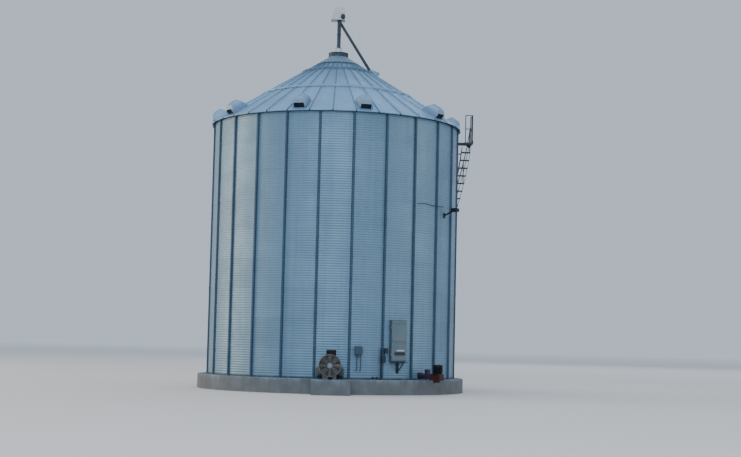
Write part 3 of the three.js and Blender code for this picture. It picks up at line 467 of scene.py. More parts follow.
def bent(azimuth, radius, height, gauge):
    """A plate that bends round the axis, from a radius outwards by its gauge."""
    return skin(polar(azimuth, radius + gauge, height), polar(azimuth, radius, height))


def curved_sheet(start, end, bottom, top, ring):
    """Corrugated sheet: a cylinder whose radius follows the wave and leans out towards its lower lap."""
    azimuth = np.linspace(start, end, max(2, int(round((end - start) / column_step)) + 1))[:, None]
    rows = max(3, int(round((top - bottom) / corrugation * rows_per_wave)) + 1)
    height = np.linspace(bottom, top, rows)[None, :]
    share = (height - base_z - ring * ring_height) / ring_height
    radius = bin_radius + wave(height) + ring_lean * (1 - 2 * share)
    return bent(azimuth, radius - wall_gauge / 2, height, wall_gauge)


def sheets_between(start, end, bottom, top):
    """The sheets of every ring inside a stretch of wall, and each sheet's tone."""
    parts, tones = [], []
    for ring in range(ring_count):
        lowest = max(bottom, base_z + ring * ring_height - (ring_lap if ring else 0))
        highest = min(top, base_z + (ring + 1) * ring_height)
        if highest - lowest < 2 * ring_lap:
            continue
        seam = first_stiffener + stiffener_spacing * (ring % 2)
        seams = seam + sheet_span * np.arange(-4, 14)
        edges = [start, *seams[(seams > start + 1) & (seams < end - 1)], end]
        for left, right in zip(edges[:-1], edges[1:]):
            parts.append(curved_sheet(left, right, lowest, highest, ring))
            tones.append(sheet_tones[ring, int(((left + right) / 2 - seam) // sheet_span) % 12])
    return parts, tones


for name, stretch in wall_stretches.items():
    parts, tones = sheets_between(*stretch)
    piece(f"wall_{name}_sheets", parts, wall_zinc, f"wall_{name}", tones=tones, crease=50)


# Stiffeners: rolled hat sections bolted up the outside of the wall every 15 degrees, spliced every
# third ring, standing on the base angle and ending under the eave angle. Older, darker zinc.
stiffener_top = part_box("stiffeners_right")[1].z
stiffener_back = wall_outer + 0.0004
splice_half = 0.14
splice_proud = 0.0035
splice_heights = base_z + ring_height * np.array([3, 6])
angle_leg = 0.06
angle_gauge = 0.005
sixths = ("front_right", "right", "back_right", "back_left", "left", "front_left")
stiffener_zinc = zinc("stiffener_zinc", "stiffener_steel", (0.040, 0.088, 0.145), (0.026, 0.060, 0.102), 0.45,
                      0.5, 0.4, spangle=0.08, dullness=0.6)


def mirrored(half):
    """An outline from its left half."""
    return np.vstack([half, np.array(half[::-1]) * (-1, 1)])


hat_outer = mirrored([(-0.060, 0.003), (-0.044, 0.003), (-0.0418, 0.005), (-0.0385, 0.064), (-0.035, 0.068)])
hat_inner = mirrored([(-0.060, 0), (-0.0465, 0), (-0.0445, 0.003), (-0.0356, 0.0625), (-0.034, 0.065)])


def hat_bar(bottom, top, proud=0.0):
    """A hat section carried straight up: its outline across the front, and heights along the bar."""
    return skin(*(at(line[:, :1], -(stiffener_back + proud + line[:, 1:]), [bottom, top])
                  for line in (hat_outer, hat_inner)))


def arc_angle(start, outline):
    """A rolled angle round a sixth of the wall, from two outlines of radius and height."""
    azimuth = np.linspace(start, start + 60, 25)[:, None]
    return skin(*(polar(azimuth, stiffener_back + line[None, :, 0], line[None, :, 1]) for line in outline))


foot_angle = np.array([[(angle_leg, angle_gauge), (angle_gauge, angle_gauge), (angle_gauge, angle_leg)],
                       [(angle_leg, 0), (0, 0), (0, angle_leg)]])
head_angle = foot_angle[:, ::-1] * (1, -1)
for number, side in enumerate(sixths):
    bars = [arc_angle(number * 60, outline + (0, height))
            for outline, height in ((foot_angle, base_z), (head_angle, stiffener_top))]
    for azimuth in number * 60 + first_stiffener + stiffener_spacing * np.arange(4):
        splices = [hat_bar(z - splice_half, z + splice_half, splice_proud) for z in splice_heights]
        bars += facing(azimuth, hat_bar(base_z, stiffener_top), *splices)
    piece(f"stiffeners_{side}_rolled", bars, stiffener_zinc, f"stiffeners_{side}")


# Wall bolts: zinc-plated hex bolts with their heads outside, in a row along every ring seam, up
# both flanges of each stiffener, and the anchor bolts that hold the base angle down.
seam_bolt_step = 2.5
to_front, upwards = (0.0, -1.0, 0.0), (0.0, 0.0, 1.0)
bolt_zinc = zinc("bolt_zinc", fitting, (0.34, 0.40, 0.44), (0.22, 0.26, 0.30), 0.7, 0.4)
bolt_sides = np.array([(k, (k + 1) % 6, 6 + (k + 1) % 6, 6 + k) for k in range(6)])
bolt_ends = np.array([(6 + k, 6 + (k + 1) % 6, 12) for k in range(6)] + [(0, k + 1, k) for k in range(1, 5)])


def bolts(places, normals, across=0.011, height=0.008):
    """Hex heads at places, along normals: a hexagon at the seat, a smaller one on top and its centre."""
    places = np.asarray(places, float).reshape(-1, 3)
    normals = np.broadcast_to(np.asarray(normals, float), places.shape)
    first = np.cross(np.where(np.abs(normals[:, 2:]) > 0.9, [[1.0, 0, 0]], [[0, 0, 1.0]]), normals)
    first /= np.linalg.norm(first, axis=1, keepdims=True)
    angle = np.arange(6)[:, None] * math.pi / 3
    ring = (first[:, None] * np.cos(angle) + np.cross(normals, first)[:, None] * np.sin(angle)) * across
    seat, lift = places[:, None], normals[:, None] * height
    points = np.concatenate([seat + ring, seat + ring * 0.86 + lift, seat + lift * 1.08], axis=1)
    start = np.arange(len(places))[:, None, None] * 13
    return points.reshape(-1, 3), (start + bolt_sides).reshape(-1, 4), (start + bolt_ends).reshape(-1, 3)


def outward(azimuth):
    """Unit vectors that point out from the axis at azimuths."""
    return polar(np.asarray(azimuth, float), 1.0, 0.0)


seam_azimuths = seam_bolt_step / 2 + seam_bolt_step * np.arange(144)
seam_heights = base_z + ring_height * np.arange(1, ring_count) - ring_lap / 2
seam_azimuth, seam_height = np.array([(a, z) for z in seam_heights for a in seam_azimuths if not (
    door_left - 0.6 < a < door_right + 0.6 and z < door_high + 0.1)]).T
seam_places = polar(seam_azimuth, bin_radius + wave(seam_height) + ring_lean + wall_gauge / 2, seam_height)
flange_heights = base_z + corrugation * np.arange(1, ring_count * waves_per_ring - 1, 2)
flange_spots = [(x, -(stiffener_back + 0.003), z) for x in (-0.052, 0.052) for z in flange_heights]
flange_bolts = []
for azimuth in first_stiffener + stiffener_spacing * np.arange(24):
    flange_bolts += facing(azimuth, bolts(flange_spots, to_front))
anchor_seats = polar(3.75 + 7.5 * np.arange(48), stiffener_back + 0.035, base_z + angle_gauge)
anchors = [bolts(anchor_seats, upwards, across, height) for across, height in ((0.02, 0.018), (0.009, 0.05))]
piece("ring_seam_bolts", [bolts(seam_places, outward(seam_azimuth))], bolt_zinc)
piece("stiffener_bolts", flange_bolts, bolt_zinc)
piece("anchor_bolts", anchors, bolt_zinc)


# Roof: tapering galvanised panels from the eave to the peak collar, each with a folded rib on its
# edges, two shallow beads, a lap half way up and a turned-down lip at the eave.
roof_slope = math.radians(32)
roof_edge = 5.63
roof_top = 0.4255
panel_angle = 10
first_rib = -2
rib_half_foot = 0.028
rib_half_crown = 0.015
pan_lift = 0.0035
rib_lift = 0.010 / math.cos(roof_slope) + 0.045
roof_gauge = 0.003
roof_lap = 3.3
eave_lip = 0.03
bead_height = 0.010
bead_shares = ((0.27, 0), (0.30, 1), (0.33, 1), (0.36, 0), (0.64, 0), (0.67, 1), (0.70, 1), (0.73, 0))
roof_zinc = zinc("roof_zinc", "roof_sheet", (0.23, 0.395, 0.58), (0.16, 0.29, 0.45), 0.5, 0.38, 0.01,
                 spangle=0.10)
# Darker zinc for the rib caps and the upper ring: partly the ribs' own darker tone, partly painted shade for
# the shadowed sides of the ribs.
rib_zinc_and_shade = zinc("rib_zinc_and_shade", "roof_sheet", (0.085, 0.16, 0.25), (0.055, 0.11, 0.18), 0.4, 0.5, 0.01)
rib_azimuths = first_rib + panel_angle * np.arange(36)
panel_tones = np.random.default_rng(11).normal(0, 1.3, 36)
roof_rows = np.array([roof_edge, roof_edge, 5.45, 4.95, 4.45, 3.95, 3.62, roof_lap + 0.05, roof_lap, roof_lap,
                      2.5, 2.0, 1.5, 1.0, 0.7, roof_top])
row_step = np.where(np.arange(len(roof_rows)) >= 9, 0.004, 0.0)
row_drop = np.where(np.arange(len(roof_rows)) == 0, -eave_lip, 0.0)
# Painted shade: each roof panel's tone falls towards the peak, from 3.6 m out to full darkness at 1.2 m.
peak_painted_shade = -7.0 * np.clip((3.6 - roof_rows) / 2.4, 0, 1) ** 1.3
bead_fade = np.clip((roof_rows - 1.2) / 1.0, 0, 1) * np.clip((5.60 - roof_rows) / 0.2, 0, 1)


def roof_underside(apothem):
    """Height of the roof sheet's underside over the middle of a panel, this far from the axis."""
    return wall_top + 0.0003 + (wall_outer - apothem) * math.tan(roof_slope)


def roof_line(panel, rib, offset, apothem, lift):
    """A line up the roof beside a rib, on the plane of a panel, at a sideways offset and a lift."""
    along, across, centre = outward(rib), outward(rib + 90), outward(panel)
    reach = (apothem - offset * (across @ centre)) / (along @ centre)
    return reach[:, None] * along + offset * across + np.outer(roof_underside(apothem) + lift, upwards)


def panel_lines(rib):
    """Lines up one panel, from the crown of the rib on its left to that of the next one."""
    centre, pan, crown = rib + panel_angle / 2, pan_lift + row_step, rib_lift + row_step
    edges = [(rib_half_crown * 0.75, crown), (rib_half_crown, crown - 0.004),
             (rib_half_foot - 0.003, pan + 0.003), (rib_half_foot, pan + row_drop)]
    left = [roof_line(centre, rib, offset, roof_rows, lift) for offset, lift in edges]
    right = [roof_line(centre, rib + panel_angle, -offset, roof_rows, lift) for offset, lift in edges[::-1]]
    beads = [left[-1] * (1 - share) + right[0] * share + np.outer(bead_height * lifted * bead_fade, upwards)
             for share, lifted in bead_shares]
    return np.stack(left + beads + right)


def plate(points, shift):
    """A plate between points[u, v] and the same points shifted."""
    return skin(points, points + shift)


for number, side in enumerate(sixths):
    panels, tones = [], []
    for k in range(number * 6, number * 6 + 6):
        panels.append(plate(panel_lines(rib_azimuths[k]), (0, 0, -roof_gauge)))
        tones.append(panel_tones[k] + np.tile(peak_painted_shade, 2 * (8 + len(bead_shares))))
    piece(f"roof_{side}_panels", panels, roof_zinc, f"roof_{side}", tones=tones, crease=28)
rib_caps = []
for rib in rib_azimuths:
    lines = [roof_line(rib + 0.01 * side, rib, side * offset, roof_rows[1:], rib_lift + row_step[1:] + lift)
             for side, offset, lift in ((-1, 0.021, -0.0125), (-1, 0.013, 0.0015), (1, 0.013, 0.0015),
                                        (1, 0.021, -0.0125))]
    rib_caps.append(plate(np.stack(lines), (0, 0, -0.002)))
piece("roof_rib_caps", rib_caps, rib_zinc_and_shade)


# Roof screws: hex screws with washers, spaced up the crown of every rib and in a row along the
# lap between the lower and the upper panels.
def roof_seat(azimuth, apothem):
    """A 4 x 3 frame on a roof panel: across, up the slope, away from the sheet, and the seat."""
    across = outward(azimuth + 90)
    up = -outward(azimuth) * math.cos(roof_slope) + (0, 0, math.sin(roof_slope))
    seat = outward(azimuth) * apothem + (0, 0, roof_underside(apothem) + pan_lift)
    return np.vstack([across, up, np.cross(across, up), seat])


screw_rises = np.arange(0.75, 5.5, 0.55)
screws = []
for rib in rib_azimuths:
    middle = rib + panel_angle / 2
    lap = [roof_line(middle, middle, offset, np.array([roof_lap - 0.03]), pan_lift + 0.004)
           for offset in np.linspace(-0.2, 0.2, 5)]
    crown = roof_line(rib, rib, 0.0, screw_rises, rib_lift + 0.002)
    for azimuth, places in ((rib, crown), (middle, lap)):
        screws.append(bolts(places, roof_seat(azimuth, 1.0)[2], 0.009, 0.007))
piece("roof_screws", screws, bolt_zinc)


# Roof rings: a wide flashing on the rib crowns under the cap, which leaves a gap over each panel at
# its lower edge, and two narrow stiffening rings below it. The upper ring stops beside the inlet.
bar_outline = np.array([(0.03, 0.044), (0.024, 0.05), (-0.024, 0.05), (-0.03, 0.044)])
flashing_outline = [(1.0, 0.008), (0.995, 0.015), (0.7, 0.015), (roof_top + 0.0005, 0.015)]
past_inlet = np.concatenate([[88.3], np.arange(98, 430, 10), [437.7]])
ring_zinc = zinc("ring_zinc", "roof_sheet", (0.205, 0.355, 0.52), (0.145, 0.265, 0.405), 0.4, 0.5, 0.01)
flashing_zinc = zinc("flashing_zinc", "roof_sheet", (0.145, 0.235, 0.33), (0.10, 0.17, 0.25), 0.4, 0.5, 0.01)


def rib_ring(azimuths, outline, closed=True):
    """A ring over the rib crowns, from its outline of apothem and lift, outer edge first."""
    from_middle = (azimuths[:, None] - first_rib) % panel_angle - panel_angle / 2
    apothem, lift = np.array(outline).T
    radius = apothem / np.cos(np.radians(from_middle))
    foot = roof_underside(apothem) + rib_lift + 0.0003
    upper, lower = (polar(azimuths[:, None], radius, height) for height in (foot + lift, foot))
    return [skin(upper, lower, closed)]


flashing = rib_ring(rib_azimuths, flashing_outline)
upper_ring = rib_ring(past_inlet, bar_outline + (1.62, 0), False)
lower_ring = rib_ring(rib_azimuths, bar_outline + (3.45, 0))
piece("peak_flashing_sheet", flashing, flashing_zinc, "peak_flashing", crease=8)
piece("roof_ring_upper_bar", upper_ring, rib_zinc_and_shade, "roof_ring_upper", crease=8)
piece("roof_ring_lower_bar", lower_ring, ring_zinc, "roof_ring_lower", crease=8)


# Roof vents: ten arched sheet hoods near the eave that droop over a slot-shaped mouth down the
# slope, each over a hole in its panel, with a flange screwed to the roof along both sides. The hole
# is drawn as a near-black box inside the hood: painted shade for the dark mouth.
vent_places = [(13, -0.07)] + [(azimuth, 0) for azimuth in (53, 93, 133, 163, 203, 233, 273, 303, 343)]
vent_half = 0.29
vent_side = 0.19
vent_height = 0.48
vent_length = 0.72
vent_ridge = 0.38
vent_front_rise = (0.0, 0.19, 0.39, 0.48)
vent_front_reach = (-0.10, -0.14, -0.04, 0.13)
mouth_half = 0.225
mouth_sill = 0.03
mouth_top = 0.245
vent_gauge = 0.004
vent_flange = 0.035
vent_arch = np.radians(np.linspace(180, 0, 17))
# Near-black finish: painted shade for the dark inside of the vent mouths.
vent_mouth_painted_shade_finish = zinc("vent_mouth_painted_shade_finish", "dark_steel", (0.006, 0.008, 0.012), (0.004, 0.005, 0.008), 0.0, 0.8)
vent_zinc = zinc("vent_zinc", "roof_sheet", (0.22, 0.34, 0.48), (0.15, 0.25, 0.37), 0.5, 0.45, 0.01)


def seated(seat, *parts):
    """Parts moved from the plain axes to a frame of three directions and a seat."""
    return [(points @ seat[:3] + seat[3], quads, triangles) for points, quads, triangles in parts]


def arched_sheet(gauge):
    """The hood's surface at a depth, from the curved front edge to the sloping back, which it closes."""
    half, height = vent_half - gauge, vent_height - gauge
    across = np.concatenate([[-half], half * np.cos(vent_arch), [half]])
    rise = np.concatenate([[0], vent_side + (height - vent_side) * np.sin(vent_arch), [0]])
    front = np.interp(rise, vent_front_rise, vent_front_reach)

    def back(lift):
        return vent_ridge + (vent_length - gauge - vent_ridge) * (1 - lift / height)

    lines = [(front * (1 - s) + back(rise) * s, rise) for s in np.linspace(0, 1, 5)]
    lines += [(back(rise * (1 - s)), rise * (1 - s)) for s in (0.5, 1.0)]
    return np.stack([at(across, *line) for line in lines], axis=1)


def front_plate(left, right, rises):
    """A plate on the hood's curved front between two edges, which may change with the rise."""
    rises = np.asarray(rises, float)
    reach = np.interp(rises, vent_front_rise, vent_front_reach)
    across = np.linspace(left + 0 * rises, right + 0 * rises, 9)
    return plate(at(across, reach, rises), (0, vent_gauge, 0))


droop_rises = np.array([mouth_top, 0.27, 0.31, 0.35, 0.39, 0.42, 0.45, 0.47, 0.478])
droop_share = np.clip((droop_rises - vent_side) / (vent_height - vent_side), 0, 1)
droop_half = vent_half * np.sqrt(1 - droop_share ** 2)
cheek_rises = (0, vent_side, mouth_top)
cheek_half = np.array([vent_half, vent_half, droop_half[0]])
hood = [skin(arched_sheet(0.0), arched_sheet(vent_gauge)), front_plate(-droop_half, droop_half, droop_rises),
        front_plate(-cheek_half, -mouth_half, cheek_rises), front_plate(mouth_half, cheek_half, cheek_rises),
        front_plate(-mouth_half, mouth_half, (0.0, mouth_sill))]
hood += [box((x, -0.08, 0), (x + vent_flange, vent_length, 0.004), 0.001)
         for x in (-vent_half - vent_flange, vent_half)]
# A near-black box that fills the hood's mouth: painted shade, in place of the hole and the unlit bin under
# it.
mouth_shade_block = box((-mouth_half - 0.02, -0.06, 0.004), (mouth_half + 0.02, 0.4, mouth_top - 0.01))
flange_middle = vent_half + vent_flange / 2
flange_spots = [(x, y, 0.004) for x in (-flange_middle, flange_middle) for y in (0.0, 0.22, 0.44, 0.66)]
hoods, mouth_shade_blocks, screws = [], [], []
for azimuth, aside in vent_places:
    seat = roof_seat(azimuth, roof_edge - 0.24)
    seat[3] += seat[0] * aside
    hoods += seated(seat, *hood)
    mouth_shade_blocks += seated(seat, mouth_shade_block)
    screws.append(bolts(flange_spots @ seat[:3] + seat[3], seat[2], 0.009, 0.006))
piece("vent_hoods", hoods, vent_zinc)
piece("vent_mouth_painted_shade", mouth_shade_blocks, vent_mouth_painted_shade_finish)
piece("vent_screws", screws, bolt_zinc)


# Peak: a ring of sheet steel that the panels end on, a dark lid with a deep rim over it, and a
# light cone that narrows to the drop tube.
collar_radius, collar_inner = 0.425, 0.405
cap_low, cap_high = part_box("peak_cap")
neck_low, neck_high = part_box("peak_neck")
collar_foot = roof_underside(collar_radius)
collar_height = cap_low.z + 0.155 - collar_foot
dark_zinc = zinc("dark_zinc", "dark_steel", (0.040, 0.062, 0.088), (0.028, 0.044, 0.064), 0.6, 0.5, 0.01)
light_zinc = zinc("light_zinc", fitting, (0.38, 0.50, 0.60), (0.27, 0.37, 0.46), 0.5, dust=0.01)
collar = np.array([
    (collar_inner, -0.02), (0.50, -0.053), (0.50, -0.05), (collar_radius, 0), (collar_radius, 0.10),
    (collar_radius + 0.008, 0.11), (collar_radius, 0.12), (collar_radius, collar_height),
    (collar_inner, collar_height)])
lid = [(-0.02, cap_high.z - 0.03), (-0.02, cap_low.z + 0.01), (-0.012, cap_low.z),
       (-0.003, cap_low.z + 0.002), (0, cap_low.z + 0.012), (-0.005, cap_low.z + 0.03),
       (-0.006, cap_high.z - 0.04), (0, cap_high.z - 0.025), (-0.004, cap_high.z - 0.006),
       (-0.02, cap_high.z - 0.002)]
cone = [(0.27, neck_low.z), (0.27, neck_low.z + 0.012), (0.235, neck_low.z + 0.014),
        (0.205, neck_low.z + 0.03), (0.13, neck_high.z - 0.03), (0.12, neck_high.z - 0.02),
        (0.12, neck_high.z)]
collar_azimuths = np.linspace(0, 360, 96, endpoint=False)[:, None]
collar_ring = polar(collar_azimuths, collar[:, 0], collar_foot + collar[:, 1])
piece("peak_collar_ring", [sleeve(collar_ring, True)], light_zinc, "peak_collar")
piece("peak_lid", [turned([(cap_high.x + inset, z) for inset, z in lid], 96, cap_high.z - 0.03, cap_high.z)],
      dark_zinc, "peak_cap")
piece("peak_cone", [turned(cone, 64, neck_low.z, neck_high.z)], light_zinc, "peak_neck")


# Drop tube and fill head: a steel tube with bolted flanges stands on the cone and carries a sheet
# hood, wider at its foot, where grain arrives and is shared between the tube and a side spout.
tube_low, tube_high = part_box("drop_tube")
head_low, head_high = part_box("fill_head")
tube_radius = 0.085
rust = (0.10, 0.035, 0.015, 1.0)
grime = (0.03, 0.03, 0.03, 1.0)


def painted_surface(group, given):
    """Brushed-on paint over steel: faded patches, grime in runs, and chips down to rust."""
    place = put(group, "TexCoord")["Object"]
    dirt = put(group, "Group", {"Splash Height": 0.6, "Patch Size": 3.0}, node_tree=weather)
    chip = remapped(noise(place, 26, 6), scaled(given["Rust Share"], -0.3, 0.72), 0.72)
    coat = mixed(dirt["Patch"], given["Paint"], given["Faded"])
    colour = mixed(chip, mixed(scaled(dirt["Run"], 0.3), coat, grime), rust)
    return colour, scaled(chip, 0.35, given["Gloss"]), scaled(chip, -1, scaled(dirt["Grain"], 0.3))


painted = shader_group("paint", {
    "Paint": (0.3, 0.3, 0.3, 1.0), "Faded": (0.35, 0.35, 0.35, 1.0), "Rust Share": 0.2, "Gloss": 0.45},
    surface_outputs, painted_surface)


def paint(name, slot, paint, faded, metallic=0.1, rusty=0.2, gloss=0.45, specular=0.5):
    """A painted finish with its own colours and share of rust."""
    values = {"Paint": (*paint, 1), "Faded": (*faded, 1), "Rust Share": rusty, "Gloss": gloss}
    return shaded(name, painted, values, metallic, 0.2, 0.001, specular)


def moved(shift, *parts):
    """Parts moved by a shift."""
    return [(points + shift, quads, triangles) for points, quads, triangles in parts]


head_paint = paint("head_paint", "grey_paint", (0.42, 0.45, 0.47), (0.50, 0.52, 0.54), rusty=0.05)
dark_paint = paint("dark_paint", "dark_steel", (0.012, 0.024, 0.038), (0.024, 0.040, 0.058), 0.0, 0.04,
                   specular=0.2)
tube = [(0.14, 0), (0.14, 0.014), (0.088, 0.014), (tube_radius, 0.02), (tube_radius, 0.62), (0.091, 0.63),
        (0.091, 0.69), (tube_radius, 0.70)]
tube_head = [(tube_radius, -0.02), (0.118, -0.014), (0.118, 0)]
tube = [(r, tube_low.z + z) for r, z in tube] + [(r, tube_high.z + z) for r, z in tube_head]
tube_bolts = polar(np.arange(8) * 45.0, 0.114, tube_low.z + 0.014)
piece("drop_tube_pipe", [turned(tube, 40, tube_low.z, tube_high.z), bolts(tube_bolts, upwards, 0.012, 0.009)],
      dark_zinc, "drop_tube")
dressed("fill_head", head_paint, 0.012)
head_trim = [box((-0.386, 0, 0), (0.276, 0.006, 0.03)),
             box((-0.16, -0.002, 0.30), (0.10, 0.006, 0.50), 0.003)]
head_trim += moved((0, head_high.y - head_low.y + 0.006, 0), head_trim[0])
head_bolts = [(x, 0, 0.015) for x in np.linspace(-0.34, 0.24, 6)]
head_bolts += [(x, -0.002, z) for x in (-0.14, 0.08) for z in (0.32, 0.48)]
piece("fill_head_trim", moved((0, head_low.y - 0.006, head_low.z), *head_trim, bolts(head_bolts, to_front)),
      head_paint)


# Fill head motor: a closed electric motor flanged to the front of the hood, with cooling fins
# round its barrel and a plain fan cover at its free end.
motor_low, motor_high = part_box("fill_head_motor")
motor_centre = (motor_low + motor_high) / 2
motor_radius = (motor_high.x - motor_low.x) / 2
motor_length = motor_high.y - motor_low.y
motor_fins = 7


def laid_back(part):
    """A part made along Z, laid down so that Z becomes -Y."""
    return part[0] @ np.array([[1.0, 0, 0], [0, 0, 1.0], [0, -1.0, 0]]), part[1], part[2]


barrel = [(1, 0), (1, 0.016), (0.82, 0.02)]
fin_pitch = (motor_length * 0.72 - 0.03) / motor_fins
for low in 0.03 + fin_pitch * np.arange(motor_fins):
    high = low + 0.55 * fin_pitch
    barrel += [(0.82, low), (0.94, low + 0.001), (0.94, high), (0.82, high)]
barrel += [(0.9, motor_length * 0.76), (0.9, motor_length * 0.95), (0.8, motor_length)]
barrel = turned([(motor_radius * share, z) for share, z in barrel], 40, 0, motor_length)
head_motor = moved((motor_centre.x, motor_high.y, motor_centre.z), laid_back(barrel))
piece("fill_head_motor_body", head_motor, dark_paint, "fill_head_motor")


# Side spout: a second steel tube that runs down from the head, over the roof, to an inlet box on a
# panel; pipe clamps hold it at both ends.
def pipe(path, radius, sides=10, plain=2, other=0, limit=0.95):
    """A tube: at each point a circle across the mean of the runs that meet there, from an axis on."""
    path = np.asarray(path, float)
    runs = np.diff(path, axis=0)
    runs /= np.linalg.norm(runs, axis=1, keepdims=True)
    along = np.vstack([runs[:1], runs[:-1] + runs[1:], runs[-1:]])
    along /= np.linalg.norm(along, axis=1, keepdims=True)
    axes = np.eye(3)
    first = np.cross(along, np.where(np.abs(along[:, plain, None]) > limit, axes[other], axes[plain]))
    first /= np.linalg.norm(first, axis=1, keepdims=True)
    angle = np.arange(sides)[:, None, None] * 2 * math.pi / sides
    circle = first * np.cos(angle) + np.cross(along, first) * np.sin(angle)
    return capped(path + circle * np.reshape(radius, (-1, 1)), path[0], path[-1])


def rod(start, end, radius, sides=20):
    """A round bar between two points, with broken edges."""
    start, end = np.asarray(start, float), np.asarray(end, float)
    edge = (end - start) / np.linalg.norm(end - start) * radius * 0.1
    return pipe([start, start + edge, end - edge, end], radius * np.array([0.9, 1, 1, 0.9]), sides, 0, 1, 0.9)


inlet_seat = roof_seat(83, 1.60)
spout_start = np.array([0.0, 0.24, head_low.z + 0.02])
spout_end = (0, 0.15, 0.06) @ inlet_seat[:3] + inlet_seat[3]
clamp_half = (spout_end - spout_start) / np.linalg.norm(spout_end - spout_start) * 0.03
spout = [rod(spout_start, spout_end, 0.065, 28)]
for share in (0.07, 0.5, 0.86):
    place = spout_start * (1 - share) + spout_end * share
    spout.append(rod(place - clamp_half, place + clamp_half, 0.071, 28))
piece("side_spout_pipe", spout, dark_zinc, "side_spout")
dressed("roof_inlet", ring_zinc, 0.008, slot="dark_steel")
piece("roof_inlet_curb", seated(inlet_seat, box((-0.145, -0.205, 0), (0.145, 0.205, 0.06), 0.004)), dark_zinc)


# Door: a frame of folded steel through the wall with pin hinges on its left side, and an outward
# opening leaf of folded sheet with three rails, a light grip bar and, below it, a near-black bar
# that sticks out: painted shadow under the grip.
door_zinc = zinc("door_zinc", fitting, (0.075, 0.120, 0.160), (0.050, 0.085, 0.115), 0.35, 0.45, dullness=0.8)
leaf_zinc = zinc("leaf_zinc", fitting, (0.122, 0.185, 0.215), (0.072, 0.122, 0.160), 0.35, 0.45, dullness=0.8)
leaf_bottom = door_low + 0.02
leaf_bolts = [(x, -5.630, leaf_bottom + z) for z in (0.095, 0.865, 1.615) for x in (-0.29, -0.10, 0.11, 0.30)]
grip = box((-0.141, -5.632, leaf_bottom + 0.409), (0.261, -5.604, leaf_bottom + 0.476), 0.006)
# A near-black bar below the grip: painted shadow under it.
painted_shadow_bar = box((-0.202, -5.657, leaf_bottom + 0.258), (0.282, -5.604, leaf_bottom + 0.377), 0.006)
dressed("door_frame", door_zinc, 0.004)
dressed("door_leaf", leaf_zinc, 0.003, body="door")
piece("door_grip", facing(door_azimuth, grip, bolts(leaf_bolts, to_front, 0.012, 0.007)), light_zinc,
      body="door")
piece("door_painted_shadow_bar", facing(door_azimuth, painted_shadow_bar), dark_paint, body="door")


# Door step: a shelf of steel grating in a flat-bar frame below the sill, on two round struts that
# meet on a plate against the wall.
step_half = 0.38
step_top = door_low - 0.012
step_outer, step_inner = -5.72, -5.505


def boxes(top, rows):
    """Boxes from rows of two x, two y and two depths below a top, with a bevel."""
    return [box((x1, y1, top - deep), (x2, y2, top - high), bevel)
            for x1, x2, y1, y2, deep, high, bevel in rows]


step_bars = boxes(step_top, [
    (-step_half, step_half, step_outer, step_outer + 0.008, 0.03, 0, 0.002),
    (-step_half, step_half, step_inner - 0.008, step_inner, 0.03, 0, 0.002),
    (-step_half, -step_half + 0.008, step_outer, step_inner, 0.03, 0, 0.002),
    (step_half - 0.008, step_half, step_outer, step_inner, 0.03, 0, 0.002),
    (-0.06, 0.06, -5.52, -5.4945, step_top - base_z - 0.27, 0.005, 0.003),
    (-step_half, step_half, -5.663, -5.657, 0.012, 0.005, 0.0005),
    (-step_half, step_half, -5.573, -5.567, 0.012, 0.005, 0.0005)]
    + [(x - 0.002, x + 0.002, step_outer, step_inner, 0.028, 0.001, 0.0005)
       for x in np.linspace(-step_half, step_half, 26)[1:-1]])
step_bars += [rod((x, step_outer + 0.03, step_top - 0.015), (0, -5.52, base_z + 0.33), 0.022)
              for x in (-0.21, 0.21)]
piece("door_step_grating", facing(door_azimuth, *step_bars), dark_paint, "door_step")


# Fan: an axial fan on the pad. Its steel drum stands on two feet and holds the motor on four arms;
# a wire guard covers the inlet, the rotor turns behind it, and a duct leads through the wall.
fan_z = base_z + 0.57
fan_front, fan_back = -6.56, -6.10
blade_root, blade_tip = 0.10, 0.424
blade_chord = 0.14
blade_middle = -6.494
fan_circle = np.radians(np.arange(0, 360, 5))[:, None]
duct_shares = np.array([0, 0, 0, 0.15, 0.5, 0.85, 1, 1, 1])
duct_reach = np.array([-5.47, -5.52, -5.565, -5.62, -5.76, -5.92, -6.05, -6.075, -6.0997])
fan_paint = paint("fan_paint", "fan_paint", (0.085, 0.090, 0.088), (0.125, 0.128, 0.122), 0.2, 0.35)
duct_paint = paint("duct_paint", "fan_paint", (0.065, 0.100, 0.115), (0.095, 0.135, 0.150), 0.3, 0.1)
# Dark rotor paint: partly the blades' own colour, partly painted shade for the inside of the drum.
rotor_paint_and_shade = paint("rotor_paint_and_shade", "dark_steel", (0.060, 0.065, 0.070), (0.095, 0.10, 0.105), 0.3)
hub_paint = paint("hub_paint", "grey_paint", (0.22, 0.28, 0.37), (0.28, 0.34, 0.43), 0.3, 0.05)
starter_paint = paint("starter_paint", "dark_steel", (0.004, 0.005, 0.008), (0.008, 0.009, 0.012), 0.0, 0.02,
                      0.6, 0.12)
wire_zinc = zinc("wire_zinc", fitting, (0.20, 0.20, 0.20), (0.13, 0.13, 0.125), 0.5)


def fan_ring(radius, thickness, y, sides=10):
    """A ring of round section about the fan's own axis."""
    around = np.linspace(0, 2 * math.pi, sides, endpoint=False)
    reach = radius + thickness * np.cos(around)
    return sleeve(at(reach * np.cos(fan_circle), y - thickness * np.sin(around),
                     fan_z + reach * np.sin(fan_circle)), True)


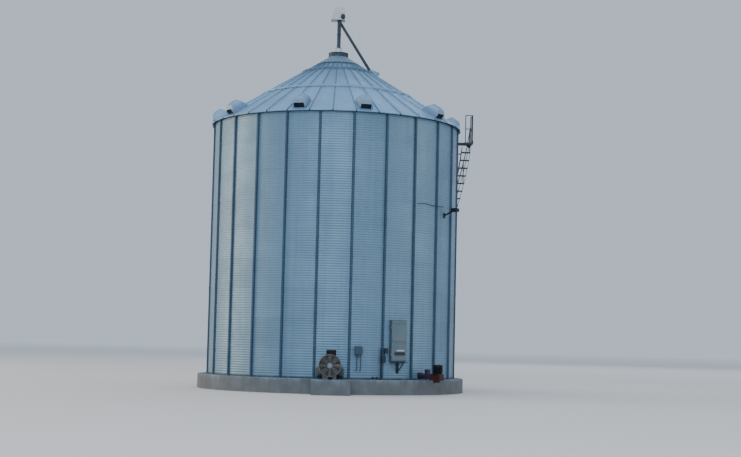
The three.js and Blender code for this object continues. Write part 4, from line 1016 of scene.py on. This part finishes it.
def fan_blade(turn):
    """A twisted blade: chord lines across it, whose pitch falls and chord grows from root to tip."""
    share, chord = np.linspace(0, 1, 9)[:, None], np.linspace(-0.5, 0.5, 7)
    span = blade_root + (blade_tip - blade_root) * share
    pitch = np.radians(40 - 14 * share)
    width = blade_chord * (0.85 + 0.25 * share) * chord
    camber = 0.010 * (1 - (2 * chord) ** 2)

    def face(side):
        lift = side * 0.004 * (1 - 0.7 * np.abs(2 * chord))
        across = width * np.cos(pitch) - (camber + lift) * np.sin(pitch)
        y = blade_middle + (width * np.sin(pitch) + camber * np.cos(pitch)) * 0.8 + lift
        return at(span * math.cos(turn) - across * math.sin(turn), y,
                  fan_z + span * math.sin(turn) + across * math.cos(turn))

    return skin(face(-1), face(1))


def duct_surface(inset):
    """The duct: each line runs from a point on the wall's rectangle to one on the drum's circle."""
    circle, width, height = 0.46 - inset, duct_half_width - inset, (duct_high - duct_low) / 2 - inset
    wide = np.clip(np.cos(fan_circle) * math.sqrt(2) * width, -width, width)
    tall = (duct_low + duct_high) / 2 + np.clip(np.sin(fan_circle) * math.sqrt(2) * height, -height, height)
    x = wide * (1 - duct_shares) + circle * np.cos(fan_circle) * duct_shares
    z = tall * (1 - duct_shares) + (fan_z + circle * np.sin(fan_circle)) * duct_shares
    return at(x, duct_reach, z)


def wall_plate(outer, inner, bottom, top):
    """A thin plate that follows the wall from one distance to another beside the fan's axis."""
    azimuth = np.linspace(*np.degrees(np.arcsin(np.array([inner, outer]) / wall_outer)), 12)[:, None]
    return bent(azimuth, wall_outer + 0.001, np.array([bottom, top]), 0.006)


guard = [fan_ring(radius, 0.004, fan_front - 0.009, 8) for radius in np.linspace(0.09, 0.43, 13)]
guard.append(fan_ring(0.452, 0.007, fan_front - 0.007))
guard_middle = np.array([0, fan_front - 0.005, fan_z])
for angle in np.radians(np.arange(0, 360, 30)):
    reach = np.array([math.cos(angle), 0, math.sin(angle)])
    guard.append(rod(guard_middle + reach * 0.085, guard_middle + reach * 0.455, 0.004, 8))
hub = turned([(0.115, 0), (0.115, 0.045), (0.105, 0.056), (0.06, 0.061)], 48, 0, 0.062)
hub = moved((0, -6.455, fan_z), laid_back(hub))
duct = [skin(duct_surface(0.0), duct_surface(0.006), wrap_u=True), fan_ring(0.457, 0.008, -6.09),
        wall_plate(0.585, -0.585, duct_high, duct_high + 0.035),
        wall_plate(-duct_half_width, -0.585, duct_low, duct_high),
        wall_plate(0.585, duct_half_width, duct_low, duct_high)]
starter = [box((-0.156, -6.458, fan_z + 0.405), (0.241, -6.152, base_z + 1.197), 0.01),
           box((-0.125, -6.466, fan_z + 0.47), (0.21, -6.456, base_z + 1.17), 0.004)]
dressed("fan_housing", fan_paint, 0.004)
rims = [fan_ring(0.452, 0.008, y) for y in (fan_front + 0.01, fan_back - 0.01)]
blades = [fan_blade(2 * math.pi * k / 8) for k in range(8)]
piece("fan_rims", facing(fan_azimuth, *rims), fan_paint)
piece("fan_guard_wires", facing(fan_azimuth, *guard), wire_zinc, "fan_guard")
piece("fan_rotor_wheel", facing(fan_azimuth, *blades), rotor_paint_and_shade, "fan_rotor", body="rotor")
piece("fan_rotor_hub", facing(fan_azimuth, *hub), hub_paint, body="rotor")
piece("fan_duct_sheet", facing(fan_azimuth, *duct), duct_paint, "fan_duct")
piece("fan_starter", facing(fan_azimuth, *starter), starter_paint)


# Control box: a grey sheet-steel box with a hinged lid, hung off the wall beside the fan, with two
# conduits that run down from it and turn into the wall.
control_azimuth = 11.25
control_paint = paint("control_paint", "grey_paint", (0.030, 0.066, 0.100), (0.048, 0.092, 0.130),
                      0.0, 0.1, specular=0.25)
lid = [box((-0.156, -5.712, base_z + 1.042), (0.156, -5.698, base_z + 1.362), 0.004),
       box((-0.158, -5.714, base_z + 1.358), (0.158, -5.560, base_z + 1.370), 0.004),
       rod((0.12, -5.710, base_z + 1.20), (0.12, -5.728, base_z + 1.20), 0.012)]
dressed("control_box", control_paint, 0.006)
piece("control_box_lid", facing(control_azimuth, *lid), control_paint)


# Sensor pipe: a thin steel pipe that stands on the slab by a stiffener left of the door, with two
# boxes and a riser on it, and two capped pipe stubs low in the wall beside it.
stub = [rod((0, -5.485, base_z + 0.085), (0, -5.60, base_z + 0.080), 0.035),
        rod((0, -5.575, base_z + 0.081), (0, -5.605, base_z + 0.080), 0.045)]
dressed("sensor_pipe", dark_paint, 0.008)
piece("pipe_stubs", facing(18.1, *stub) + facing(19.9, *stub), dark_paint)


# Unloader: the power sweep's tube comes out of the wall through a flange, with a clamp box on it. A
# gearbox at its end drops the grain, under an upright motor with ribs. Dull red paint, partly rusty.
unload_azimuth = 43.125
gear_low, gear_high = base_z + 0.012, base_z + 0.285
unload_motor_low, unload_motor_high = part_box("unload_motor")
rib_radius = 0.200
red_paint = paint("red_paint", "red_paint", (0.032, 0.008, 0.013), (0.060, 0.020, 0.026), 0.0, 0.5,
                  specular=0.2)
purple_paint = paint("purple_paint", "red_paint", (0.018, 0.014, 0.045), (0.034, 0.028, 0.070), 0.0,
                     specular=0.25)
ribbed_paint = paint("ribbed_paint", "dark_steel", (0.004, 0.007, 0.010), (0.008, 0.012, 0.016), 0.0, 0.03,
                     0.6, 0.12)


def upright_ribs(azimuth, radius):
    """How far the barrel's grooves lie inside its ribs: every other pair of columns, between two rows."""
    groove = np.floor(azimuth / 360 * 128) % 4 >= 2
    return np.where(groove & (np.abs(radius - rib_radius) < 1e-6), -0.028, 0.0)


flange_spots = [(x, -5.5171, base_z + z) for x in (-0.125, 0.125) for z in (0.09, 0.193, 0.296)]
case_spots = [(x, -6.7305, gear_low + z) for x in (-0.11, 0.11) for z in (0.04, 0.09, 0.18, 0.23)]
unload_details = [box((-0.148, -6.182, gear_low - 0.004), (0.148, -6.166, gear_high + 0.004)),
                  box((-0.148, -6.736, gear_low + 0.125), (0.148, -6.19, gear_low + 0.145), 0.004),
                  box((-0.12, -6.56, base_z - 0.078), (0.12, -6.34, base_z - 0.060), 0.004),
                  bolts(flange_spots, to_front, 0.014, 0.01), bolts(case_spots, to_front, 0.014, 0.009)]
barrel = [(0.217, 0), (0.220, 0.004), (0.220, 0.018), (0.214, 0.022), (0.168, 0.024), (0.168, 0.044),
          (rib_radius, 0.050), (rib_radius, 0.265), (0.168, 0.271), (0.206, 0.277), (0.208, 0.345),
          (0.196, 0.370), (0.150, 0.386)]
upright_motor = turned(barrel, 128, 0, unload_motor_high.z - unload_motor_low.z, upright_ribs)
motor_box = box((-0.075, -0.219, 0.10), (0.075, -0.15, 0.21), 0.006)
unload_motor = moved((0, -6.51, unload_motor_low.z), upright_motor, motor_box)
dressed("unload_tube", purple_paint, 0.003)
dressed("unload_gearbox", red_paint, 0.012)
piece("unload_details", facing(unload_azimuth, *unload_details), red_paint)
piece("unload_motor_body", facing(unload_azimuth, *unload_motor), ribbed_paint, "unload_motor")


# Wall lamp: a yard lamp in a flat dark housing on an arm from a plate on the wall, with its conduit
# run along the wall from the left, over the stiffener on the way.
lamp_paint = paint("lamp_paint", "dark_steel", (0.004, 0.008, 0.014), (0.008, 0.014, 0.022), 0.0, 0.02,
                   0.55, 0.12)
conduit_azimuth = np.linspace(39.7, 59.2, 66)
conduit_turns = [39.7, 44, 50.5, 55, 59.2]
conduit_height = base_z + np.interp(conduit_azimuth, conduit_turns, [7.47, 7.51, 7.45, 7.47, 7.48])
conduit_out = np.interp(conduit_azimuth, [51.0, 51.6, 53.4, 54.0], [0.014, 0.084, 0.084, 0.014])
dressed("wall_lamp", lamp_paint, 0.01)
conduit = pipe(polar(conduit_azimuth, wall_outer + conduit_out, conduit_height), 0.012)
piece("lamp_conduit", [conduit], dark_zinc)


# Stair: open grating treads between an inner stringer, which brackets hold off the stiffeners, and a
# thin outer one, winding up round the back of the wall to the platform.
platform_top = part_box("platform")[1].z
tread_rise = 0.335
tread_turn = 2.1
tread_count = 31
stair_top = 95.2
stair_inner, stair_outer = 5.83, 6.25
tread_half = 0.105
stair_zinc = zinc("stair_zinc", "stair_steel", (0.045, 0.062, 0.080), (0.030, 0.043, 0.058), 0.4, 0.55, 0.4)


def stringer(radius, thickness, above, below):
    """A plate that bends round the bin and climbs with the treads, from below their line to above it."""
    step = np.linspace(0.2, tread_count + 0.2, 94)[:, None]
    line = platform_top - step * tread_rise
    low = np.maximum(line - below, base_z + 0.0005)
    rise = low + (np.maximum(line + above, low + 0.02) - low) * np.array([0, 0.5, 1])
    return bent(stair_top + step * tread_turn, radius, rise, thickness)


inner_end = -stair_inner - 0.01
tread_rows = [(-tread_half, tread_half, -stair_outer, -stair_outer + 0.006, 0.045, 0, 0.001)]
tread_rows += [(x - 0.003, x + 0.003, -stair_outer, inner_end, 0.045, 0, 0.001) for x in (-0.102, 0.102)]
tread_rows += [(x - 0.002, x + 0.002, -stair_outer, inner_end, 0.035, 0.002, 0.0005)
               for x in np.linspace(-tread_half, tread_half, 9)[1:-1]]
tread_rows += [(-tread_half, tread_half, -r - 0.003, -r + 0.003, 0.012, 0.005, 0.001)
               for r in np.arange(stair_inner + 0.06, stair_outer - 0.02, 0.1)]
flight = [stringer(stair_inner, 0.012, 0.06, 0.18), stringer(stair_outer, 0.006, 0.012, 0.058)]
for azimuth in (97.5, 112.5, 127.5, 142.5, 157.5):
    arm_low = platform_top - (azimuth - stair_top) / tread_turn * tread_rise - 0.09
    arm = box((-0.02, -stair_inner - 0.003, arm_low), (0.02, -5.5625, arm_low + 0.05), 0.004)
    flight += facing(azimuth, arm)
for step in range(1, tread_count + 1):
    flight += facing(stair_top + step * tread_turn, *boxes(platform_top - step * tread_rise, tread_rows))
piece("stair_flight_treads", flight, stair_zinc, "stair_flight")


# Stair rail: round posts on every fourth tread, a top rail and a knee rail that climb with the
# stair, all of steel pipe.
rail_height = 0.95
rail_steps = np.linspace(0.4, tread_count + 0.4, 91)


def over_treads(steps, lift):
    """Points over the treads' outer ends at steps, at a lift."""
    height = platform_top - steps * tread_rise + lift
    return polar(stair_top + steps * tread_turn, stair_outer - 0.035, height)


rails = [pipe(over_treads(rail_steps, rail_height), 0.02, 14),
         pipe(over_treads(rail_steps[2:-2], rail_height / 2), 0.012, 10)]
rails += [rod(over_treads(step, -0.03), over_treads(step, rail_height), 0.02, 14)
          for step in range(1, tread_count + 1, 4)]
piece("stair_rail_pipes", rails, stair_zinc, "stair_rail")


# Platform: a grating deck in a channel frame on two arms from the wall, with a pipe rail along its
# outer side and across its front end.
platform_from, platform_to = 88.6, 95.7
platform_inner = 5.85
platform_rail = 1.24
deck_line = stair_outer - 0.04
rail_corners = [(89.1, platform_inner + 0.04), (89.1, deck_line), (92.2, deck_line), (95.3, deck_line)]
deck_arc = np.linspace(platform_from + 0.1, platform_to - 0.1, 24)
toe_arc = np.linspace(platform_from, platform_to, 13)[:, None]
toe = platform_top + np.array([0, 0.1])
deck_bar = box((-0.003, -stair_outer + 0.01, platform_top - 0.001),
               (0.003, -platform_inner - 0.01, platform_top + 0.006), 0.001)
deck = []
for azimuth in np.arange(platform_from + 0.4, platform_to, 0.5):
    deck += facing(azimuth, deck_bar)
deck += [pipe(polar(deck_arc, radius, platform_top + 0.003), 0.003, 6)
         for radius in np.arange(platform_inner + 0.06, stair_outer - 0.02, 0.1)]
rails = [bent(toe_arc, deck_line + 0.030, toe, 0.004)]
for lift in (platform_rail, platform_rail / 2):
    ends = [polar(azimuth, radius, platform_top + lift) for azimuth, radius in rail_corners]
    rails += [rod(first, second, 0.02, 14) for first, second in zip(ends[:-1], ends[1:])]
for place in rail_corners:
    foot, head = polar(*place, platform_top - 0.03), polar(*place, platform_top + platform_rail)
    rails.append(rod(foot, head, 0.02, 14))
dressed("platform", stair_zinc, 0.003)
piece("platform_grating", deck, stair_zinc)
piece("platform_rail_pipes", rails, stair_zinc, "platform_rail")
